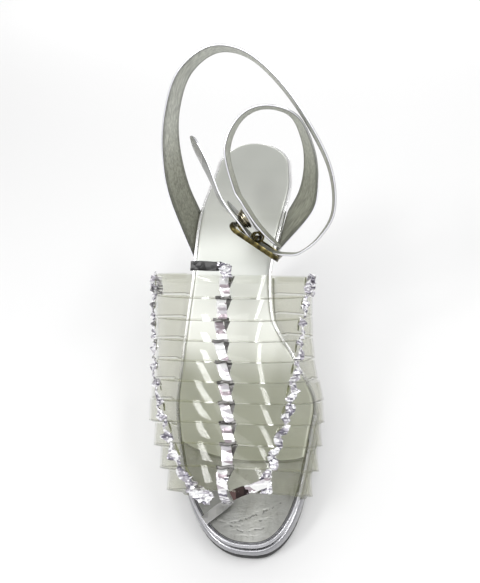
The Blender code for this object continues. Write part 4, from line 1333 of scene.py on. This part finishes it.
def ribbon(name, centre, across, half, out, curl, folds, seed, finish, wall):
    """A strip of foil: half widths along it, curled over at the edges and folded by noise."""
    u = np.linspace(-1, 1, LACE_ACROSS)
    drop = curl * np.abs(u[None]) ** 3 * np.ones_like(half)[:, None]
    rows = (centre[:, None] + across[:, None] * (half[:, None] * u[None])[..., None]
            - out[:, None] * drop[..., None])
    piece = skin(name, crumple(rows, *folds, seed))
    thicken(piece, wall)
    piece.data.materials.append(finish)
    return piece


def center_segment(k):
    """A flat slanting facet of lace over one strip, the fold under its right side and the bar above it; fold
    and bar are dark foil, painted shade.
    """
    t, point, out, across = stretch(k, CENTER_RUN, CENTER_STEPS, "center")
    lift = STRIP_WALL / 2 + STRIP_LAP * t + CENTER_LIFT + CENTER_BOW * np.sin(pi * t) ** CENTER_BOW_POWER
    centre = point + out * lift[:, None] + across * (CENTER_SLANT * (t - 0.5))[:, None]
    half = CENTER_WIDTH / 2 * (1 - CENTER_SWELL + CENTER_SWELL * np.sin(pi * t))
    parts = [ribbon("lace", centre, across, half, out, CENTER_CURL, CENTER_FOLDS, k + CENTER_SEED, FOIL,
                    LACE_WALL)]
    t, point, out, across = stretch(k, UNDERFOLD_RUN, UNDERFOLD_STEPS, "center")
    lift = STRIP_WALL / 2 + UNDERFOLD_LIFT + STRIP_LAP * t
    centre = point + out * lift[:, None] + across * (UNDERFOLD_AWAY - UNDERFOLD_SLIDE * t)[:, None]
    half = UNDERFOLD_HALF - UNDERFOLD_TAPER * t
    parts.append(ribbon("fold", centre, across, half, out, LACE_THIN_CURL, UNDERFOLD_FOLDS,
                        k + UNDERFOLD_SEED, FOIL_DARK, UNDERFOLD_WALL))
    if k > 0:
        parts.append(slit_bar(k))
    return parts


def slit_bar(k):
    """The turn of the center lace where it dives between two strips, dark with painted shade."""
    point, out, across, along = lace_place(np.full(BAR_POINTS, float(k)), "center")
    reach = np.linspace(-BAR_HALF, BAR_HALF, BAR_POINTS)[:, None]
    path = point + across * reach + out * (STRIP_WALL / 2 + STRIP_LAP + BAR_LIFT)
    path = path + along * (BAR_SWAY * np.sin(reach + k))
    bar = sweep("bar", path, BAR_PROFILE, out[0])
    bar.data.materials.append(FOIL_DARK)
    return bar


def side_segment(k, lace):
    """A pinched, twisted stretch of lace beside the foot, with the slit it comes out of."""
    seed = k + SIDE_SEED[lace]
    t, point, out, across = stretch(k, SIDE_RUN, SIDE_STEPS, lace)
    turn = SIDE_TWIST * np.sin(2 * pi * t + TWIST_PHASE * seed) + SIDE_FLUTTER * np.sin(5 * pi * t + seed)
    turn = turn[:, None]
    flat = across * np.cos(turn) + out * np.sin(turn)
    up = out * np.cos(turn) - across * np.sin(turn)
    sway = SIDE_SWAY * np.sin(2 * pi * t + SWAY_PHASE * seed)
    lift = STRIP_WALL / 2 + STRIP_LAP * t + SIDE_LIFT + SIDE_BOW * np.sin(pi * t)
    centre = point + out * lift[:, None] + across * sway[:, None]
    pinch = 1 - SIDE_PINCH + SIDE_PINCH * np.sin(pi * t) ** SIDE_PINCH_POWER
    half = SIDE_WIDTH / 2 * pinch * (1 + SIDE_RIPPLE * np.sin(SIDE_RIPPLE_PACE * t + seed))
    parts = [ribbon("lace", centre, flat, half, up, SIDE_CURL, SIDE_FOLDS, seed, FOIL_FINE, LACE_WALL)]
    t, point, out, across = stretch(k, SLIT_RUN, SLIT_STEPS, lace)
    lift = STRIP_WALL / 2 + SLIT_LIFT + STRIP_LAP * t
    away = -OUTWARD[lace] * (SLIT_AWAY + SLIT_SLIDE * t)
    centre = point + out * lift[:, None] + across * away[:, None]
    half = SLIT_HALF + SLIT_SWELL * np.sin(pi * t)
    parts.append(ribbon("slit", centre, across, half, out, LACE_THIN_CURL, SLIT_FOLDS, seed + SLIT_SEED,
                        VINYL_SLIT, SLIT_WALL))
    return parts


def loose_ribbon(rows, side, folds, seed, finish, wall):
    """A free end of lace: rows of x, y, z and half width, its width turned towards side."""
    path = flowing(rows, END_STEPS)
    centre = path[:, :3]
    ahead = unit(np.gradient(centre, axis=0))
    side = np.asarray(side, float)
    across = unit(side - ahead * np.sum(ahead * side, -1, keepdims=True))
    out = unit(np.cross(ahead, across))
    return ribbon("end", centre, across, path[:, 3], out, LACE_THIN_CURL, folds, seed, finish, wall)


def make_laces():
    for lace, ends in LACE_ENDS.items():
        parts = []
        for k in range(STRIP_COUNT):
            parts += center_segment(k) if lace == "center" else side_segment(k, lace)
        parts += [loose_ribbon(*end) for end in ends]
        hand_over(join("foil_lace_" + lace, parts), (), "lace_" + lace)


# Straps


def strap_path(table, lap, side, foot):
    """Middle line and half width to the front edge, from the sole to the free end."""
    lean = np.radians(column(table, "lean_deg"))
    swing = np.radians(column(table, "swing_deg"))
    centre = np.stack([column(table, axis) for axis in "xyz"], -1)
    front = np.stack([np.cos(lean) * np.sin(swing), -np.cos(lean) * np.cos(swing), np.sin(lean)], -1)
    for along, out, turn in lap:
        centre = np.vstack([centre, at_buckle(along, 0.0, out)])
        front = np.vstack([front, ACROSS * cos(radians(turn)) + OUT * sin(radians(turn))])
    half = unit(front) * STRAP_WIDTH / 2
    base = []
    for out, depth in STRAP_FOOT:
        fore, back = [place(s, edge_x(s, side) + OUTWARD[side] * out, depth) for s in foot]
        base.append(np.concatenate([(fore + back) / 2, (fore - back) / 2]))
    path = flowing(np.vstack([base, np.hstack([centre, half])]), STRAP_STEPS)
    return path[:, :3], path[:, 3:]


def make_strap(side, table, lap, foot):
    centre, half = strap_path(table, lap, side, foot)
    width = np.linalg.norm(half, axis=1, keepdims=True)
    across = half / width
    along = unit(np.gradient(centre, axis=0))
    out = unit(OUTWARD[side] * np.cross(along, across))
    run = np.concatenate([[0], np.cumsum(np.linalg.norm(np.diff(centre, axis=0), axis=1))])
    left = run[-1] - run
    short = np.clip(STRAP_WIDTH / 2 - left, 0, None) / (STRAP_WIDTH / 2)
    end = np.sqrt(np.clip(1 - short ** 2, STRAP_END_LEAST, 1))
    scale = width / (STRAP_WIDTH / 2) * end[:, None]
    wide = column(STRAP_RING, "across")[None, :, None]
    thick = column(STRAP_RING, "out")[None, :, None]
    rings = centre[:, None] + across[:, None] * (wide * scale[:, None]) + out[:, None] * thick
    looks = np.array([column(STRAP_RING, "look")] * (len(rings) - 1))
    shaded = (left[1:] > TAIL_TIP) & (left[1:] < TAIL_LENGTH) & (side == "lateral")
    looks[shaded[:, None] & (looks == FACE)] = SHADED
    strap = skin("lined_strap_" + side, rings, closed=True, capped=True, looks=looks)
    hand_over(strap, STRAP_LOOKS, "ankle_strap_" + side, smooth_deg=40)


# Buckle


def make_buckle_frame():
    half_long = BUCKLE_LENGTH / 2
    half_high = BUCKLE_HEIGHT / 2
    path = []
    for end, flank, start in FRAME_CORNERS:
        for k in range(FRAME_CORNER_POINTS):
            a = radians(start + 90 * k / (FRAME_CORNER_POINTS - 1))
            along = end * (half_long - FRAME_CORNER) + FRAME_CORNER * cos(a)
            across = flank * (half_high - FRAME_CORNER) + FRAME_CORNER * sin(a)
            hook = FRAME_HOOK * max(0.0, 1 - (along + half_long) / FRAME_HOOK_REACH) ** 2
            out = FRAME_OUT - FRAME_SLANT * along - hook
            path.append(at_buckle(FRAME_CENTRE_ALONG + along, across, out))
    ring = sweep("frame", path, FRAME_PROFILE, OUT, closed=True)
    mirrored = [(-across, out) for across, out in reversed(BAR_END)]
    path = [at_buckle(BAR_ALONG, across, out) for across, out in (*BAR_END, *mirrored)]
    bar = sweep("bar", flowing(path, BAR_STEPS), round_profile(BAR_RADIUS), ALONG)
    buckle = join("brass_frame", [ring, bar])
    hand_over(buckle, (BRASS,), "buckle_frame", smooth_deg=50)


def make_prong():
    path = [at_buckle(along, 0.0, out) for along, out in PRONG]
    parts = [sweep("tongue", flowing(path, PRONG_STEPS), round_profile(PRONG_RADIUS), ACROSS)]
    turns = np.linspace(0, 2 * pi, CURL_POINTS, endpoint=False)
    for across, shift in CURLS:
        along = BAR_ALONG + shift
        out = BAR_OUT - shift
        eye = [at_buckle(along + CURL_RADIUS * cos(a), across, out + CURL_RADIUS * sin(a)) for a in turns]
        parts.append(sweep("curl", eye, round_profile(CURL_WIRE, CURL_SIDES), ACROSS, closed=True))
    prong = join("brass_prong", parts)
    hand_over(prong, (BRASS,), "buckle_prong", smooth_deg=50)


def make_buckle_loop():
    turns = [radians(angle) for angle in LOOP_TURN_ANGLES]
    bend = [(BAR_ALONG + LOOP_TURN * sin(a), BAR_OUT - LOOP_TURN * cos(a)) for a in turns]
    path = flowing([*LOOP_START, *bend, LOOP_STOP], LOOP_STEPS)
    rows = [[at_buckle(along, across, out) for across in np.linspace(LOOP_HALF, -LOOP_HALF, LOOP_ACROSS)]
            for along, out in path]
    loop = skin("loop", rows)
    thicken(loop, LOOP_WALL)
    shares = np.linspace(1, -1, LEAF_ACROSS)
    rows = [[at_buckle(along, half * share, out + LEAF_ROLL * half * share) for share in shares]
            for along, out, half in flowing(LEAF, LEAF_STEPS)]
    leaf = skin("leaf", rows)
    thicken(leaf, LEAF_WALL)
    loop = join("buckle_loop", [loop, leaf])
    hand_over(loop, (SILVER,), "buckle_tab", smooth_deg=50)


def make_stud():
    foot = at_buckle(STUD_ALONG, 0.0, STUD_FOOT_OUT)
    up = unit(OUT - STUD_TILT * ALONG)
    level = unit(ALONG + STUD_TILT * OUT)
    turns = np.linspace(0, 2 * pi, STUD_SIDES, endpoint=False)
    rings = [[foot + up * height + STUD_SPREAD * radius * (level * cos(a) + ACROSS * sin(a)) for a in turns]
             for height, radius in DISCS]
    stud = skin("brass_stud", rings, closed=True, capped=True)
    hand_over(stud, (STUD_BRASS,), "strap_stud", smooth_deg=40)


make_footbed_board()
make_footbed_rim()
make_sock_lining()
make_platform()
make_outsole()
make_heel()
make_heel_tip()
make_strips()
make_hem()
make_laces()
make_strap("lateral", LATERAL_STRAP, LATERAL_LAP, LATERAL_FOOT)
make_strap("medial", MEDIAL_STRAP, MEDIAL_LAP, MEDIAL_FOOT)
make_buckle_frame()
make_prong()
make_buckle_loop()
make_stud()


# Floor, light and camera


def make_floor():
    bpy.ops.object.select_all(action="DESELECT")
    bpy.ops.mesh.primitive_plane_add(size=FLOOR_SIZE_M, location=(0, 0, -FLOOR_DROP_M))
    floor = bpy.context.object
    floor.name = "studio_floor"
    pale = new_finish("floor_white", grey(FLOOR_GREY), 0.0, 0.7)
    to_shader(pale, "Roughness", span(pale, cloud(pale, where(pale), 3.0), 0.65, 0.8))
    floor.data.materials.append(pale)


def soft_light(name, stand, aim, long_way, size_m, watts):
    """A rectangular light with its long side turned along a direction."""
    lamp = bpy.data.lights.new(name, "AREA")
    lamp.shape = "RECTANGLE"
    lamp.size, lamp.size_y = size_m
    lamp.energy = watts
    obj = bpy.data.objects.new(name, lamp)
    bpy.context.scene.collection.objects.link(obj)
    back = (Vector(stand) - Vector(aim)).normalized()
    long_side = Vector(long_way)
    long_side = (long_side - back * long_side.dot(back)).normalized()
    turn = Matrix((long_side.cross(back), long_side, back)).transposed()
    obj.matrix_world = Matrix.Translation(Vector(stand) * MM) @ turn.to_4x4()


def light_studio():
    """White room with a dimmer patch overhead, and the rectangular lights."""
    world = bpy.data.worlds.new("studio")
    bpy.context.scene.world = world
    world.use_nodes = True
    background = world.node_tree.nodes["Background"]
    spot = node(world, "ShaderNodeTexCoord", {}).outputs["Generated"]
    overhead = node(world, "ShaderNodeVectorMath", {0: spot, 1: DIM_PATCH_WAY}, operation="DOT_PRODUCT")
    outer, inner = DIM_PATCH_EDGE
    shades = greys((0.0, ROOM_LIGHT), (outer, ROOM_LIGHT), (inner, DIM_PATCH_LIGHT), (1.0, DIM_PATCH_LIGHT))
    room = ramp(world, overhead.outputs["Value"], shades)
    world.node_tree.links.new(room, background.inputs["Color"])
    for light in LIGHTS:
        soft_light(*light)
    bpy.context.scene.view_settings.view_transform = "Standard"


def set_camera():
    pitch, yaw = radians(CAMERA_PITCH), radians(CAMERA_YAW)
    ahead = Vector((sin(yaw) * cos(pitch), cos(yaw) * cos(pitch), -sin(pitch)))
    turn = ahead.to_track_quat("-Z", "Y").to_matrix() @ Matrix.Rotation(radians(CAMERA_ROLL), 3, "Z")
    turn = turn @ Matrix.Rotation(radians(CAMERA_PAN), 3, "Y")
    lens = bpy.data.cameras.new("photo_camera")
    lens.lens = CAMERA_LENS
    lens.sensor_width = CAMERA_SENSOR
    lens.clip_start = CAMERA_NEAR_M
    camera = bpy.data.objects.new("photo_camera", lens)
    bpy.context.scene.collection.objects.link(camera)
    camera.matrix_world = Matrix.Translation(Vector(CAMERA_PLACE) * MM) @ turn.to_4x4()
    bpy.context.scene.camera = camera


make_floor()
light_studio()
set_camera()
